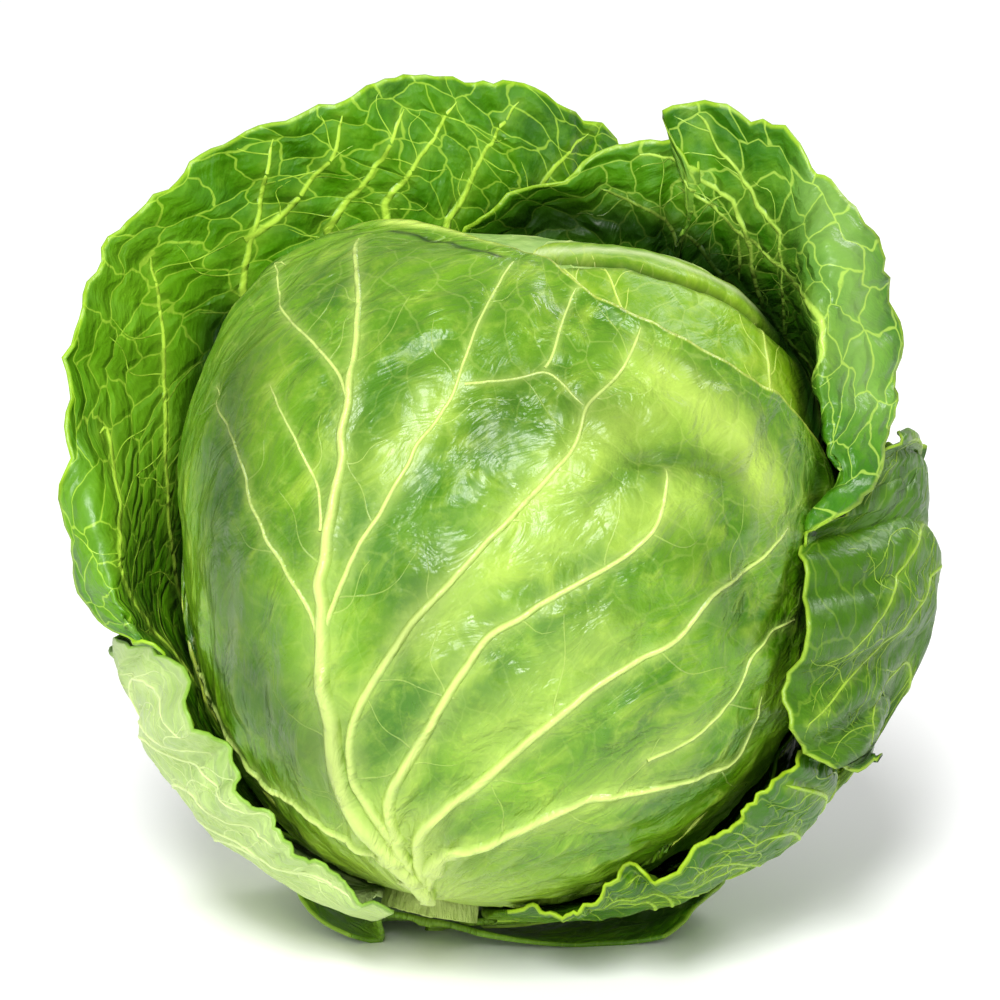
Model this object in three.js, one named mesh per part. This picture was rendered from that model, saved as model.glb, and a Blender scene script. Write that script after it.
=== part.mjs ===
// A head of green cabbage with its loose wrapper leaves, resting on a small flat spot under the outermost leaf.
// Units are millimetres, +Z is up, the viewer looks along +Y from the front, and the origin is the middle of the flat spot.
// The heart is one dense solid. Every leaf is a thin closed blade that leaves the stem, follows the round heart for a
// while and then stands off it. A leaf is described by its rays: lines that fan out from the stem to points on its rim.
// Leaves are made from the inside out, and each one is pushed clear of the leaves inside it.
import * as THREE from "three";
import { mergeVertices } from "three/addons/utils/BufferGeometryUtils.js";

// Driving dimensions
const HEART_RADIUS = new THREE.Vector3(77, 84, 76); // across, up and towards the viewer
const HEART_ROUNDNESS = 2.3; // 2 is an ellipsoid, more is squarer
const HEART_HEIGHT = 106; // of its middle above the surface it lies on
const VIEW_TILT = 15; // degrees: the leaves are set out as seen from this far above the horizon
const VIEW_DISTANCE = 1500; // so that nearer points seem further apart
const VIEW_CENTRE = 17.8; // height of the middle of the view above the heart's middle
const STEM_TIP = [-20, -98, 0]; // the cut end of the stem, from the heart's middle
const STEM_RADIUS = 12;
const STEM_FLARE = 2.5; // how much wider the cut end is
const STEM_GAP = 0.6; // between the stem and the foot of a leaf
const BLADE = 1.2; // thickness of a leaf at its rim
const BLADE_AT_STEM = 1.7;
const RIB_HEIGHT = 1.2; // of the midrib above the outer face
const SIDE_RIB_HEIGHT = 0.7;
const LEAF_GAP = 1; // least space between two leaves, before faceting takes some of it
const LOWEST = 2; // no leaf but the lowest one comes nearer to the surface than this

const middle = new THREE.Vector3(0, 0, HEART_HEIGHT);
const tilt = THREE.MathUtils.degToRad(VIEW_TILT);
const rightward = new THREE.Vector3(1, 0, 0);
const upward = new THREE.Vector3(0, Math.sin(tilt), Math.cos(tilt));
const nearer = new THREE.Vector3(0, -Math.cos(tilt), Math.sin(tilt));

// Leaves are set out by [right, up, nearer] from the heart's middle, as seen by the viewer.
const seen = ([right, up, near]) =>
  new THREE.Vector3()
    .addScaledVector(rightward, right)
    .addScaledVector(upward, up)
    .addScaledVector(nearer, near);

// Distance from the middle to the heart's surface in a direction.
function heartRadius(direction) {
  const part = (axis, radius) => Math.abs(direction.dot(axis) / radius) ** HEART_ROUNDNESS;
  const sum =
    part(rightward, HEART_RADIUS.x) + part(upward, HEART_RADIUS.y) + part(nearer, HEART_RADIUS.z);
  return sum ** (-1 / HEART_ROUNDNESS);
}

// How far a point is off the heart.
const liftOf = (p) => p.length() - heartRadius(p.clone().normalize());

// A point on the viewer's side of the heart, or behind it, raised off it by lift.
function front(right, up, lift) {
  const rest =
    1 -
    Math.abs(right / (HEART_RADIUS.x + lift)) ** HEART_ROUNDNESS -
    Math.abs(up / (HEART_RADIUS.y + lift)) ** HEART_ROUNDNESS;
  return [right, up, (HEART_RADIUS.z + lift) * Math.max(rest, 0) ** (1 / HEART_ROUNDNESS)];
}
function behind(right, up, lift) {
  const [r, u, near] = front(right, up, lift);
  return [r, u, -near];
}
// A point off the heart, by where it is seen and how near it is.
function at(right, up, near) {
  const scale = 1 - near / VIEW_DISTANCE;
  return [right * scale, VIEW_CENTRE + (up - VIEW_CENTRE) * scale, near];
}
// A point of the underside, by its place above the surface that the cabbage lies on.
function placed(x, y, z) {
  const p = new THREE.Vector3(x, y, z - HEART_HEIGHT);
  return [p.dot(rightward), p.dot(upward), p.dot(nearer)];
}

const smooth = (x) => {
  const t = Math.min(Math.max(x, 0), 1);
  return t * t * (3 - 2 * t);
};
const lerp = THREE.MathUtils.lerp;

// A smooth line through points at t from 0 to 1. A point is [x, y, z, ...more], and the spacing comes from x, y and z.
function through(points, t) {
  const n = points.length - 1;
  const k = Math.min(Math.floor(t * n), n - 1);
  const w = t * n - k;
  const [b, c] = [points[k], points[k + 1]];
  const a = points[k - 1] ?? b.map((v, m) => 2 * v - c[m]);
  const d = points[k + 2] ?? c.map((v, m) => 2 * v - b[m]);
  const gap = (p, q) =>
    Math.sqrt(Math.max(Math.hypot(p[0] - q[0], p[1] - q[1], p[2] - q[2]), 0.001));
  const [s0, s1, s2] = [gap(a, b), gap(b, c), gap(c, d)];
  return b.map((x1, m) => {
    const [x0, x2, x3] = [a[m], c[m], d[m]];
    const v1 = s1 * ((x1 - x0) / s0 - (x2 - x0) / (s0 + s1) + (x2 - x1) / s1);
    const v2 = s1 * ((x2 - x1) / s1 - (x3 - x1) / (s1 + s2) + (x3 - x2) / s2);
    const c2 = 3 * (x2 - x1) - 2 * v1 - v2;
    const c3 = 2 * (x1 - x2) + v1 + v2;
    return x1 + v1 * w + c2 * w * w + c3 * w * w * w;
  });
}

// Points carry their lift off the heart, so that a line between them goes round the heart and not through it.
const carried = (p, lift = liftOf(p)) => [...p.toArray(), lift];
function settled([x, y, z, lift]) {
  const d = new THREE.Vector3(x, y, z).normalize();
  return d.multiplyScalar(heartRadius(d) + lift);
}

const stemAxis = seen(STEM_TIP).normalize();
const stemFront = nearer.clone().addScaledVector(stemAxis, -nearer.dot(stemAxis)).normalize();
const stemRight = new THREE.Vector3().crossVectors(stemAxis, stemFront).normalize();
if (stemRight.x < 0) stemRight.negate();

// The foot of a leaf on the stem, at an angle round it: 0 faces the viewer and 90 is on the right.
function foot(angle, lift) {
  const a = THREE.MathUtils.degToRad(angle);
  const out = STEM_RADIUS + STEM_FLARE + STEM_GAP + BLADE_AT_STEM / 2;
  return stemAxis
    .clone()
    .multiplyScalar(heartRadius(stemAxis) + lift)
    .addScaledVector(stemFront, out * Math.cos(a))
    .addScaledVector(stemRight, out * Math.sin(a));
}

// A ray goes from the foot round the heart to the first of its own points, and on through the others.
const ROUND_STEP = 0.4; // radians
function rayPoints(footPoint, own, leaf) {
  const first = own[0];
  const from = footPoint.clone().normalize();
  const to = first.clone().normalize();
  const angle = from.angleTo(to);
  const axis = new THREE.Vector3().crossVectors(from, to).normalize();
  const steps = Math.max(1, Math.round(angle / ROUND_STEP));
  const line = [carried(footPoint)];
  const lastLift = liftOf(first);
  for (let i = 1; i < steps; i++) {
    const share = i / steps;
    const d = from.clone().applyAxisAngle(axis, angle * share);
    const low = lerp(leaf.footLift, leaf.lift, smooth(share * 2.5));
    const lift = lerp(low, lastLift, smooth((share - 0.4) / 0.6));
    line.push(carried(d.multiplyScalar(heartRadius(d) + lift), lift));
  }
  return [...line, ...own.map((p) => carried(p))];
}

// Where to cut a line of points so that the pieces are equally long, as t from 0 to 1.
function evenCuts(lengths, count) {
  const sums = [0];
  for (const length of lengths) sums.push(sums[sums.length - 1] + length);
  const whole = sums[sums.length - 1];
  return Array.from({ length: count + 1 }, (_, i) => {
    const goal = (whole * i) / count;
    let k = 0;
    while (k < lengths.length - 1 && sums[k + 1] < goal) k++;
    return (k + (goal - sums[k]) / lengths[k]) / lengths.length;
  });
}

const apart = (p, q) => Math.hypot(p[0] - q[0], p[1] - q[1], p[2] - q[2]);

// A leaf's middle surface as rows of points: across its rays, and from the foot to the rim.
function leafSheet(leaf) {
  const { rays, around, footLift, across, along } = leaf;
  const FINE = 80;
  const lines = rays.map((ray, i) => {
    const angle = lerp(around[0], around[1], i / (rays.length - 1));
    const points = rayPoints(foot(angle, footLift), ray.map(seen), leaf);
    const fine = Array.from({ length: FINE + 1 }, (_, k) => through(points, k / FINE));
    const cuts = evenCuts(fine.slice(1).map((p, k) => apart(p, fine[k])), along);
    return cuts.map((t) => through(points, t));
  });
  const widths = lines.slice(1).map((line, i) =>
    line.reduce((sum, p, j) => sum + apart(p, lines[i][j]), 0),
  );
  const cuts = evenCuts(widths, across);
  return Array.from({ length: along + 1 }, (_, j) =>
    cuts.map((t) => settled(through(lines.map((line) => line[j]), t))),
  );
}

// Unit normals of a sheet, turned so that the one in its middle points away from the heart.
function sheetNormals(rows) {
  const last = rows.length - 1;
  const wide = rows[0].length - 1;
  const normals = rows.map((row, j) =>
    row.map((_, i) => {
      const u = row[Math.min(i + 1, wide)].clone().sub(row[Math.max(i - 1, 0)]);
      const v = rows[Math.min(j + 1, last)][i].clone().sub(rows[Math.max(j - 1, 0)][i]);
      return u.cross(v).normalize();
    }),
  );
  const [j, i] = [Math.round(last / 2), Math.round(wide / 2)];
  const turn = Math.sign(normals[j][i].dot(rows[j][i]));
  normals.forEach((row) => row.forEach((n) => n.multiplyScalar(turn)));
  return normals;
}

// The rim waves up and down, more and more towards the edge.
function wave(rows, { height, count, phase }) {
  const normals = sheetNormals(rows);
  rows.forEach((row, j) => {
    const share = smooth(j / (rows.length - 1)) ** 3;
    row.forEach((p, i) => {
      const t = i / (row.length - 1);
      const ends = Math.min(1, 6 * t, 6 * (1 - t));
      const swing = Math.sin(2 * Math.PI * (count * t + phase) + 0.8 * Math.sin(9 * t));
      p.addScaledVector(normals[j][i], height * share * ends * swing);
    });
  });
}

// How far out the finished leaves reach in a direction.
const finished = []; // triangles of the outer faces made so far, from the heart's middle
function reach(direction) {
  const ray = new THREE.Ray(new THREE.Vector3(), direction);
  const hit = new THREE.Vector3();
  let most = heartRadius(direction);
  for (const { corners, bound } of finished) {
    if (direction.dot(bound.axis) < bound.cosine) continue;
    if (ray.intersectTriangle(...corners, false, hit)) most = Math.max(most, hit.length());
  }
  return most;
}

function remember(outer) {
  for (let j = 0; j < outer.length - 1; j++)
    for (let i = 0; i < outer[0].length - 1; i++) {
      const [a, b] = [outer[j][i], outer[j][i + 1]];
      const [c, d] = [outer[j + 1][i + 1], outer[j + 1][i]];
      const halves = otherWay(outer, j, i) ? [[b, c, d], [b, d, a]] : [[a, b, c], [a, c, d]];
      for (const corners of halves) {
        const axis = new THREE.Vector3();
        for (const p of corners) axis.add(p.clone().normalize());
        axis.normalize();
        const spread = Math.max(...corners.map((p) => axis.angleTo(p)));
        finished.push({ corners, bound: { axis, cosine: Math.cos(spread + 0.01) } });
      }
    }
}

// Pushes a sheet out until every cell of it is clear of the finished leaves.
const CELL_LOOKS = 3; // points looked at along each side of a cell
function clear(rows) {
  const normals = sheetNormals(rows);
  const push = rows.map((row) => row.map(() => 0));
  const p = new THREE.Vector3();
  for (let j = 0; j < rows.length - 1; j++)
    for (let i = 0; i < rows[0].length - 1; i++) {
      const corners = [[j, i], [j, i + 1], [j + 1, i], [j + 1, i + 1]];
      const [a, b, c, d] = corners.map(([m, n]) => rows[m][n]);
      const facing = corners.map(([m, n]) =>
        Math.abs(normals[m][n].dot(rows[m][n].clone().normalize())),
      );
      const gap = (BLADE_AT_STEM / 2 + LEAF_GAP) / Math.max(Math.min(...facing), 0.35);
      let most = 0;
      for (let v = 0; v <= CELL_LOOKS; v++)
        for (let u = 0; u <= CELL_LOOKS; u++) {
          const [s, t] = [u / CELL_LOOKS, v / CELL_LOOKS];
          p.set(0, 0, 0);
          p.addScaledVector(a, (1 - s) * (1 - t)).addScaledVector(b, s * (1 - t));
          p.addScaledVector(c, (1 - s) * t).addScaledVector(d, s * t);
          const r = p.length();
          most = Math.max(most, reach(p.divideScalar(r)) + gap - r);
        }
      for (const [m, n] of corners) push[m][n] = Math.max(push[m][n], most);
    }
  rows.forEach((row, j) => row.forEach((q, i) => q.setLength(q.length() + push[j][i])));
}

// Ribs stand out of the outer face: a midrib and side ribs, each along one line of the grid.
function ribHeight(leaf, i, j) {
  const share = j / leaf.along;
  if (i === leaf.midrib) return RIB_HEIGHT * (1 - 0.7 * share);
  if (leaf.ribs.includes(i)) return SIDE_RIB_HEIGHT * (1 - 0.6 * share);
  return 0;
}

// Turns every face round if the closed surface is inside out.
function facingOut(geometry) {
  const p = geometry.getAttribute("position");
  const index = geometry.getIndex().array;
  const [a, b, c] = [new THREE.Vector3(), new THREE.Vector3(), new THREE.Vector3()];
  let volume = 0;
  for (let i = 0; i < index.length; i += 3) {
    a.fromBufferAttribute(p, index[i]);
    b.fromBufferAttribute(p, index[i + 1]);
    c.fromBufferAttribute(p, index[i + 2]);
    volume += a.dot(b.cross(c));
  }
  if (volume < 0)
    for (let i = 0; i < index.length; i += 3)
      [index[i + 1], index[i + 2]] = [index[i + 2], index[i + 1]];
  geometry.computeVertexNormals();
  return geometry;
}

// A four-cornered cell is cut along its shorter diagonal.
const otherWay = (rows, j, i) =>
  rows[j][i].distanceTo(rows[j + 1][i + 1]) > rows[j][i + 1].distanceTo(rows[j + 1][i]);

// Joins an outer and an inner face with walls all round. Both faces are cut into triangles alike.
function closedBlade(outer, inner) {
  const high = outer.length;
  const wide = outer[0].length;
  const positions = [...outer.flat(), ...inner.flat()].flatMap((p) => p.toArray());
  const at = (face, j, i) => face * high * wide + j * wide + i;
  const index = [];
  const quad = (a, b, c, d) => index.push(a, b, c, a, c, d);
  for (let j = 0; j < high - 1; j++)
    for (let i = 0; i < wide - 1; i++) {
      let ring = [at(0, j, i), at(0, j, i + 1), at(0, j + 1, i + 1), at(0, j + 1, i)];
      if (otherWay(outer, j, i)) ring = [...ring.slice(1), ring[0]];
      const [a, b, c, d] = ring;
      quad(a, b, c, d);
      const [e, f, g, h] = ring.map((k) => k + high * wide);
      index.push(g, f, e, h, g, e);
    }
  for (let i = 0; i < wide - 1; i++) {
    quad(at(1, 0, i), at(1, 0, i + 1), at(0, 0, i + 1), at(0, 0, i));
    quad(at(0, high - 1, i), at(0, high - 1, i + 1), at(1, high - 1, i + 1), at(1, high - 1, i));
  }
  for (let j = 0; j < high - 1; j++) {
    quad(at(0, j, 0), at(0, j + 1, 0), at(1, j + 1, 0), at(1, j, 0));
    quad(at(1, j, wide - 1), at(1, j + 1, wide - 1), at(0, j + 1, wide - 1), at(0, j, wide - 1));
  }
  const geometry = new THREE.BufferGeometry();
  geometry.setAttribute("position", new THREE.Float32BufferAttribute(positions, 3));
  geometry.setIndex(index);
  return facingOut(geometry);
}

function leafGeometry(leaf) {
  const rows = leafSheet(leaf);
  wave(rows, leaf.wave);
  clear(rows);
  clear(rows);
  const normals = sheetNormals(rows);
  const face = (side) =>
    rows.map((row, j) =>
      row.map((p, i) => {
        const half = lerp(BLADE_AT_STEM, BLADE, smooth((3 * j) / leaf.along)) / 2;
        const off = side > 0 ? half + ribHeight(leaf, i, j) : -half;
        const q = p.clone().addScaledVector(normals[j][i], off);
        const floor = (leaf.lowest ? 0 : LOWEST) + (side > 0 ? 0 : 2 * half);
        q.z = Math.max(q.z, floor - HEART_HEIGHT);
        return q;
      }),
    );
  const outer = face(1);
  const inner = face(-1);
  remember(outer);
  return closedBlade(outer, inner).translate(...middle.toArray());
}

// The leaves, from the heart outwards. Each ray's points are [right, up, nearer] from the heart's middle.
const LEAVES = [
  {
    name: "head_leaf_back",
    colour: "greyed",
    around: [-70, -200],
    lift: 2.2,
    footLift: 2.2,
    wave: { height: 0.4, count: 5, phase: 0.2 },
    rays: [
      [behind(-60, -60, 2.2)],
      [behind(-74, -34, 2.2)],
      [behind(-80, 0, 2.2)],
      [behind(-74, 20, 2.2), front(-74, 30, 2.2)],
      [behind(-66, 40, 2.2), front(-60, 56, 2.2)],
      [behind(-50, 46, 2.2), at(-40, 79, -4), front(-42, 68, 2.2)],
      [behind(-34, 36, 2.2), at(-18, 89, -6), front(-24, 76, 2.2)],
      [behind(-12, 30, 2.2), at(6, 89, -8), front(2, 78, 2.2)],
      [behind(10, 26, 2.2), at(33, 86, -12), front(28, 73, 2.2)],
      [behind(32, 22, 2.2), at(53, 81, -16), front(48, 65, 2.2)],
      [behind(52, 16, 2.2), at(66, 71, -18), front(61, 53, 2.2)],
      [behind(66, 6, 2.2), at(77, 53, -22), front(73, 36, 2.2)],
      [behind(74, -10, 2.2), at(83, 24, -22)],
      [behind(66, -44, 2.2)],
      [behind(36, -72, 2.2)],
    ],
    across: 26,
    along: 10,
    midrib: 13,
    ribs: [9, 17],
  },
  {
    name: "head_leaf_right",
    colour: "pale",
    around: [10, 150],
    lift: 4.2,
    footLift: 4.2,
    wave: { height: 0, count: 4, phase: 0 },
    rays: [
      [front(8, -78, 4.2)],
      [front(12, -40, 4.2)],
      [front(8, 10, 4.2)],
      [front(6, 44, 4.2)],
      [front(4, 68, 4.2)],
      [front(22, 40, 4.2), at(14, 81, 18)],
      [front(36, 36, 4.2), at(36, 80, 10)],
      [front(52, 28, 4.2), at(52, 76, 5)],
      [front(66, 22, 4.4), at(68, 69, 0)],
      [front(76, 10, 5), at(80, 58, -10)],
      [at(84, -8, 16), at(87, 44, -2), at(84, 44, -30)],
      [at(86, -16, -2), at(87, 18, -12), at(82, 24, -42)],
      [at(84, -28, -16), at(80, -4, -48)],
      [at(74, -40, -34), at(66, -30, -54)],
      [at(46, -66, -44)],
      [at(18, -86, -20)],
    ],
    across: 32,
    along: 10,
    midrib: 18,
    ribs: [14, 22, 26],
  },
  {
    name: "head_leaf_front",
    colour: "pale",
    around: [-82, 82],
    lift: 6,
    footLift: 6.6,
    wave: { height: 0.5, count: 9, phase: 0 },
    rays: [
      [front(-36, -83, 6)],
      [front(-50, -72, 6)],
      [front(-63, -60, 6)],
      [front(-74, -47, 6)],
      [at(-85, -24, -16)],
      [at(-87, 4, -24)],
      [at(-82, 30, -26)],
      [at(-74, 54, -20)],
      [at(-61, 78, -10)],
      [at(-48, 92, -2)],
      [at(-30, 96, 4)],
      [at(-10, 92, 16)],
      [at(10, 84, 34)],
      [front(26, 72, 6.2)],
      [front(40, 64, 6.2)],
      [front(54, 56, 6.2)],
      [front(69, 45, 6.2)],
      [at(80, 36, 20)],
      [at(87, 24, 8)],
      [at(89, 4, 4)],
      [at(86, -18, 8)],
      [at(80, -36, 16)],
      [front(70, -51, 6)],
      [front(56, -64, 6)],
      [front(42, -76, 6)],
      [front(27, -86, 6)],
      [front(8, -92, 6)],
    ],
    across: 42,
    along: 11,
    midrib: 18,
    ribs: [6, 11, 15, 22, 26, 31, 36],
  },
  {
    name: "wrapper_right",
    colour: "deep",
    around: [176, 92],
    lift: 7.6,
    footLift: 6.6,
    wave: { height: 1.2, count: 12, phase: 0.4 },
    rays: [
      [at(-8, -82, -29), at(-9, -83, -32), at(-10, -83, -35)],
      [at(-4, -58, -72), at(-8, -54, -74), at(-12, -50, -76)],
      [at(-4, -10, -88), at(-9, -4, -89), at(-14, 2, -90)],
      [at(-2, 36, -84), at(-8, 46, -82), at(-14, 54, -80)],
      [at(2, 66, -68), at(-6, 78, -58), at(-12, 86, -46)],
      [at(14, 82, -56), at(4, 90, -48), at(-6, 96, -34)],
      [at(28, 86, -54), at(22, 98, -48), at(13, 104, -36)],
      [at(38, 86, -54), at(38, 102, -46), at(36, 117, -40)],
      [at(44, 84, -56), at(48, 98, -48), at(50, 114, -40)],
      [at(47, 82, -56), at(52, 96, -46), at(53, 110, -38)],
      [at(50, 80, -57), at(53, 100, -44), at(44, 125, -38)],
      [at(54, 78, -57), at(60, 100, -44), at(57, 127, -35)],
      [at(60, 74, -57), at(68, 96, -38), at(72, 122, -28)],
      [at(66, 68, -56), at(77, 92, -26), at(84, 112, -18)],
      [at(74, 60, -52), at(86, 86, -4), at(96, 98, -14)],
      [at(80, 48, -46), at(87, 66, 10), at(107, 78, -9)],
      [at(84, 34, -42), at(87, 46, 15), at(110, 54, -6)],
      [at(87, 20, -38), at(89, 31, 20), at(107, 36, 6)],
      [at(89, 8, -34), at(92, 16, 24), at(99, 13, 24)],
      [at(90, -8, -30), at(92, 4, 12), at(90, 5, 24)],
      [at(84, -30, -28), at(88, -26, -10), at(90, -22, 2)],
      [at(68, -58, -30), at(72, -58, -20), at(75, -58, -10)],
      [at(42, -82, -30), at(44, -83, -22), at(46, -84, -14)],
    ],
    across: 42,
    along: 12,
    midrib: 28,
    ribs: [12, 19, 23, 34],
  },
  {
    name: "wrapper_left",
    colour: "deep",
    around: [-92, -164],
    lift: 10.2,
    footLift: 5.6,
    wave: { height: 1.6, count: 10, phase: 0.1 },
    rays: [
      [at(-33, -84, -18), at(-35, -82, -13)],
      [at(-56, -74, -20), at(-62, -72, 2)],
      [at(-74, -52, -22), at(-82, -46, 12)],
      [at(-83, -34, -30), at(-93, -27, 14)],
      [at(-86, -20, -38), at(-102, -15, 11), at(-110, -17, 4)],
      [at(-86, -5, -44), at(-107, -3, 7), at(-116, -5, -2)],
      [at(-84, 10, -48), at(-110, 10, 1), at(-117.5, 12, -5)],
      [at(-80, 34, -50), at(-118, 46, -9)],
      [at(-68, 60, -54), at(-110, 84, -17)],
      [at(-46, 80, -54), at(-85, 109, -27)],
      [at(-18, 90, -54), at(-44, 128, -34)],
      [at(6, 90, -57), at(-8, 134, -39)],
      [at(24, 84, -66), at(30, 118, -56)],
      [at(34, 62, -82), at(50, 92, -74)],
      [at(34, 20, -96), at(52, 40, -92)],
      [at(22, -28, -94), at(38, -20, -94)],
      [at(4, -66, -68), at(10, -62, -76)],
      [at(-12, -90, -30), at(-6, -90, -36)],
    ],
    across: 38,
    along: 11,
    midrib: 18,
    ribs: [8, 12, 23, 28, 32],
  },
  {
    name: "wrapper_low_left",
    colour: "whitish",
    around: [-94, -150],
    lift: 11.5,
    footLift: 10,
    wave: { height: 1.4, count: 11, phase: 0.3 },
    rays: [
      [at(-36, -96, 0), at(-29, -95, 18)],
      [at(-50, -91, 4), at(-43, -88, 30)],
      [at(-66, -82, 4), at(-58, -76, 36)],
      [at(-80, -71, 2), at(-70, -63, 35)],
      [at(-90, -59, -2), at(-78, -48, 33)],
      [at(-98, -46, -6), at(-86, -35, 30)],
      [at(-103, -36, -12), at(-104, -31, 8)],
      [at(-102, -28, -28), at(-109, -23, -16)],
      [at(-96, -26, -46), at(-107, -14, -42)],
      [at(-80, -38, -60), at(-87, -22, -68)],
      [at(-54, -62, -62), at(-57, -50, -76)],
      [at(-32, -84, -42), at(-30, -80, -52)],
    ],
    across: 28,
    along: 9,
    midrib: 15,
    ribs: [6, 11, 20],
  },
  {
    name: "wrapper_low_right",
    colour: "deep",
    around: [98, 118],
    lift: 11,
    footLift: 9.6,
    wave: { height: 1.4, count: 9, phase: 0.6 },
    rays: [
      [at(3, -95, 6), at(2, -95, 22)],
      [at(26, -93, 12), at(24, -91, 34)],
      [at(50, -90, 14), at(42, -84, 42)],
      [at(70, -81, 10), at(60, -73, 44)],
      [at(85, -71, 4), at(74, -62, 42)],
      [at(91, -58, 0), at(84, -50, 28)],
      [at(91, -50, -18), at(91, -40, -6)],
      [at(78, -58, -38), at(82, -46, -40)],
      [at(46, -77, -38), at(46, -72, -48)],
    ],
    across: 24,
    along: 8,
    midrib: 13,
    ribs: [7, 18],
  },
  {
    name: "wrapper_far_right",
    colour: "greyed",
    around: [122, 152],
    lift: 15,
    footLift: 13,
    wave: { height: 1.4, count: 9, phase: 0.8 },
    rays: [
      [at(48, -82, -36), at(58, -78, -26)],
      [at(74, -66, -36), at(88, -58, -12)],
      [at(98, -48, -16), at(103, -52, 16)],
      [at(104, -40, -4), at(92, -56, 34)],
      [at(108, -32, 0), at(80, -47, 46)],
      [at(114, -22, -2), at(80, -31, 48)],
      [at(118, -8, -5), at(82, -12, 47)],
      [at(119, 5, -9), at(86, 3, 41)],
      [at(118, 13, -14), at(103, 9, 24)],
      [at(113, 18, -28), at(113, 26, -8)],
      [at(106, 16, -44), at(114, 36, -28)],
      [at(95, 6, -60), at(101, 34, -56)],
      [at(78, -14, -74), at(82, 12, -84)],
      [at(56, -46, -76), at(58, -32, -90)],
      [at(30, -80, -56), at(32, -74, -68)],
    ],
    across: 30,
    along: 10,
    midrib: 19,
    ribs: [9, 14, 25],
  },
  {
    name: "wrapper_under",
    colour: "deep",
    lowest: true,
    around: [-118, -242],
    lift: 24,
    footLift: 16,
    wave: { height: 1.6, count: 6, phase: 0 },
    rays: [
      [placed(-33, -10, 0.6), placed(-42, -12, 3)],
      [placed(-40, 4, 0.6), placed(-60, 6, 10)],
      [placed(-36, 22, 0.6), placed(-64, 30, 20)],
      [placed(-22, 34, 0.6), placed(-44, 58, 24)],
      [placed(0, 38, 0.6), placed(0, 70, 20)],
      [placed(22, 34, 0.6), placed(42, 60, 22)],
      [placed(38, 20, 0.6), placed(62, 34, 18)],
      [placed(41, 2, 0.6), placed(60, 4, 9)],
      [placed(34, -12, 0.6), placed(46, -13, 3)],
    ],
    across: 18,
    along: 9,
    midrib: 9,
    ribs: [5, 13],
  },
];

// The dense heart, a squarish ball with a shallow swirl of steps where its packed leaves end.
const HEART_STEP = 0.6;
function heartGeometry() {
  const ball = new THREE.SphereGeometry(1, 28, 16);
  ball.deleteAttribute("normal");
  ball.deleteAttribute("uv");
  const sphere = mergeVertices(ball, 1e-5);
  const p = sphere.getAttribute("position");
  const d = new THREE.Vector3();
  for (let i = 0; i < p.count; i++) {
    d.fromBufferAttribute(p, i).normalize();
    const turn = Math.atan2(d.z, d.x);
    const step = HEART_STEP * Math.sin(3 * turn + 2.4 * d.y);
    d.multiplyScalar(heartRadius(d) - HEART_STEP + step).add(middle);
    p.setXYZ(i, d.x, d.y, d.z);
  }
  return facingOut(sphere);
}

// The cut stem stands just under the heart.
const STEM_START = 1.2; // space left between heart and stem
function stemGeometry(length) {
  const stem = new THREE.CylinderGeometry(STEM_RADIUS + STEM_FLARE, STEM_RADIUS, length, 20, 2);
  const p = stem.getAttribute("position");
  for (let i = 0; i < p.count; i++) {
    const angle = Math.atan2(p.getZ(i), p.getX(i));
    const lobes = 1 - 0.05 * Math.abs(Math.sin(2.5 * angle));
    p.setXYZ(i, p.getX(i) * lobes, p.getY(i), p.getZ(i) * lobes);
  }
  return stem;
}

const COLOURS = {
  pale: 0x9fc843,
  deep: 0x4f9414,
  greyed: 0x7fae52,
  whitish: 0xc3dc93,
  heart: 0xb9d76a,
  stem: 0xd8e4a6,
};

const cabbage = new THREE.Group();
function add(name, geometry, colour) {
  const material = new THREE.MeshStandardMaterial({
    color: COLOURS[colour],
    roughness: 0.45,
    metalness: 0,
  });
  const mesh = new THREE.Mesh(geometry, material);
  mesh.name = name;
  cabbage.add(mesh);
  return mesh;
}

add("heart", heartGeometry(), "heart");

const stemStart = heartRadius(stemAxis) + STEM_START;
const stemEnd = seen(STEM_TIP).length();
const stem = add("stem", stemGeometry(stemEnd - stemStart), "stem");
stem.quaternion.setFromUnitVectors(new THREE.Vector3(0, 1, 0), stemAxis);
stem.position.copy(middle).addScaledVector(stemAxis, (stemStart + stemEnd) / 2);

for (const leaf of LEAVES) add(leaf.name, leafGeometry(leaf), leaf.colour);

export default cabbage;
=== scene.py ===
# The cabbage dressed for close views: every leaf is built again from its rays, much finer, with its veins as raised
# ribs, its crinkles, and waxy leaf materials. Lengths are in millimetres until a mesh is made, and points are
# [right, up, nearer] from the heart's middle, as the camera sees them.
import math
import bpy
import numpy as np
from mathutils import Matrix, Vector, noise
from mathutils.bvhtree import BVHTree


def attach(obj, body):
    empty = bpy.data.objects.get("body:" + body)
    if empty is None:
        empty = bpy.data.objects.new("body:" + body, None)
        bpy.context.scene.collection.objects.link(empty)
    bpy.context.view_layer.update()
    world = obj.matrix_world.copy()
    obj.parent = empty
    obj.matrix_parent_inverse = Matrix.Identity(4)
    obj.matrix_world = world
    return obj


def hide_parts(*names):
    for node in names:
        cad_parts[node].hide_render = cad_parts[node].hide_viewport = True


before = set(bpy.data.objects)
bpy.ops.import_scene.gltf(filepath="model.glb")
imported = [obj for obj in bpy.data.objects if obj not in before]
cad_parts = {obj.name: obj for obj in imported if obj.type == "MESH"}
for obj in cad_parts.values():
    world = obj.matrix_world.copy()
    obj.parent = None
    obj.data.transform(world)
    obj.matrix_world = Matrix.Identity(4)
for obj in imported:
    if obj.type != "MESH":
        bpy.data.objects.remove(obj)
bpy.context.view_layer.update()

# The same values as in the part's source.
HEART = np.array([77.0, 84.0, 76.0])  # half its width, height and depth
ROUNDNESS = 2.3
HEIGHT = 106.0  # of the heart's middle above the floor
TILT = math.radians(15)  # of the camera
DISTANCE = 1500.0  # of the camera
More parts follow.
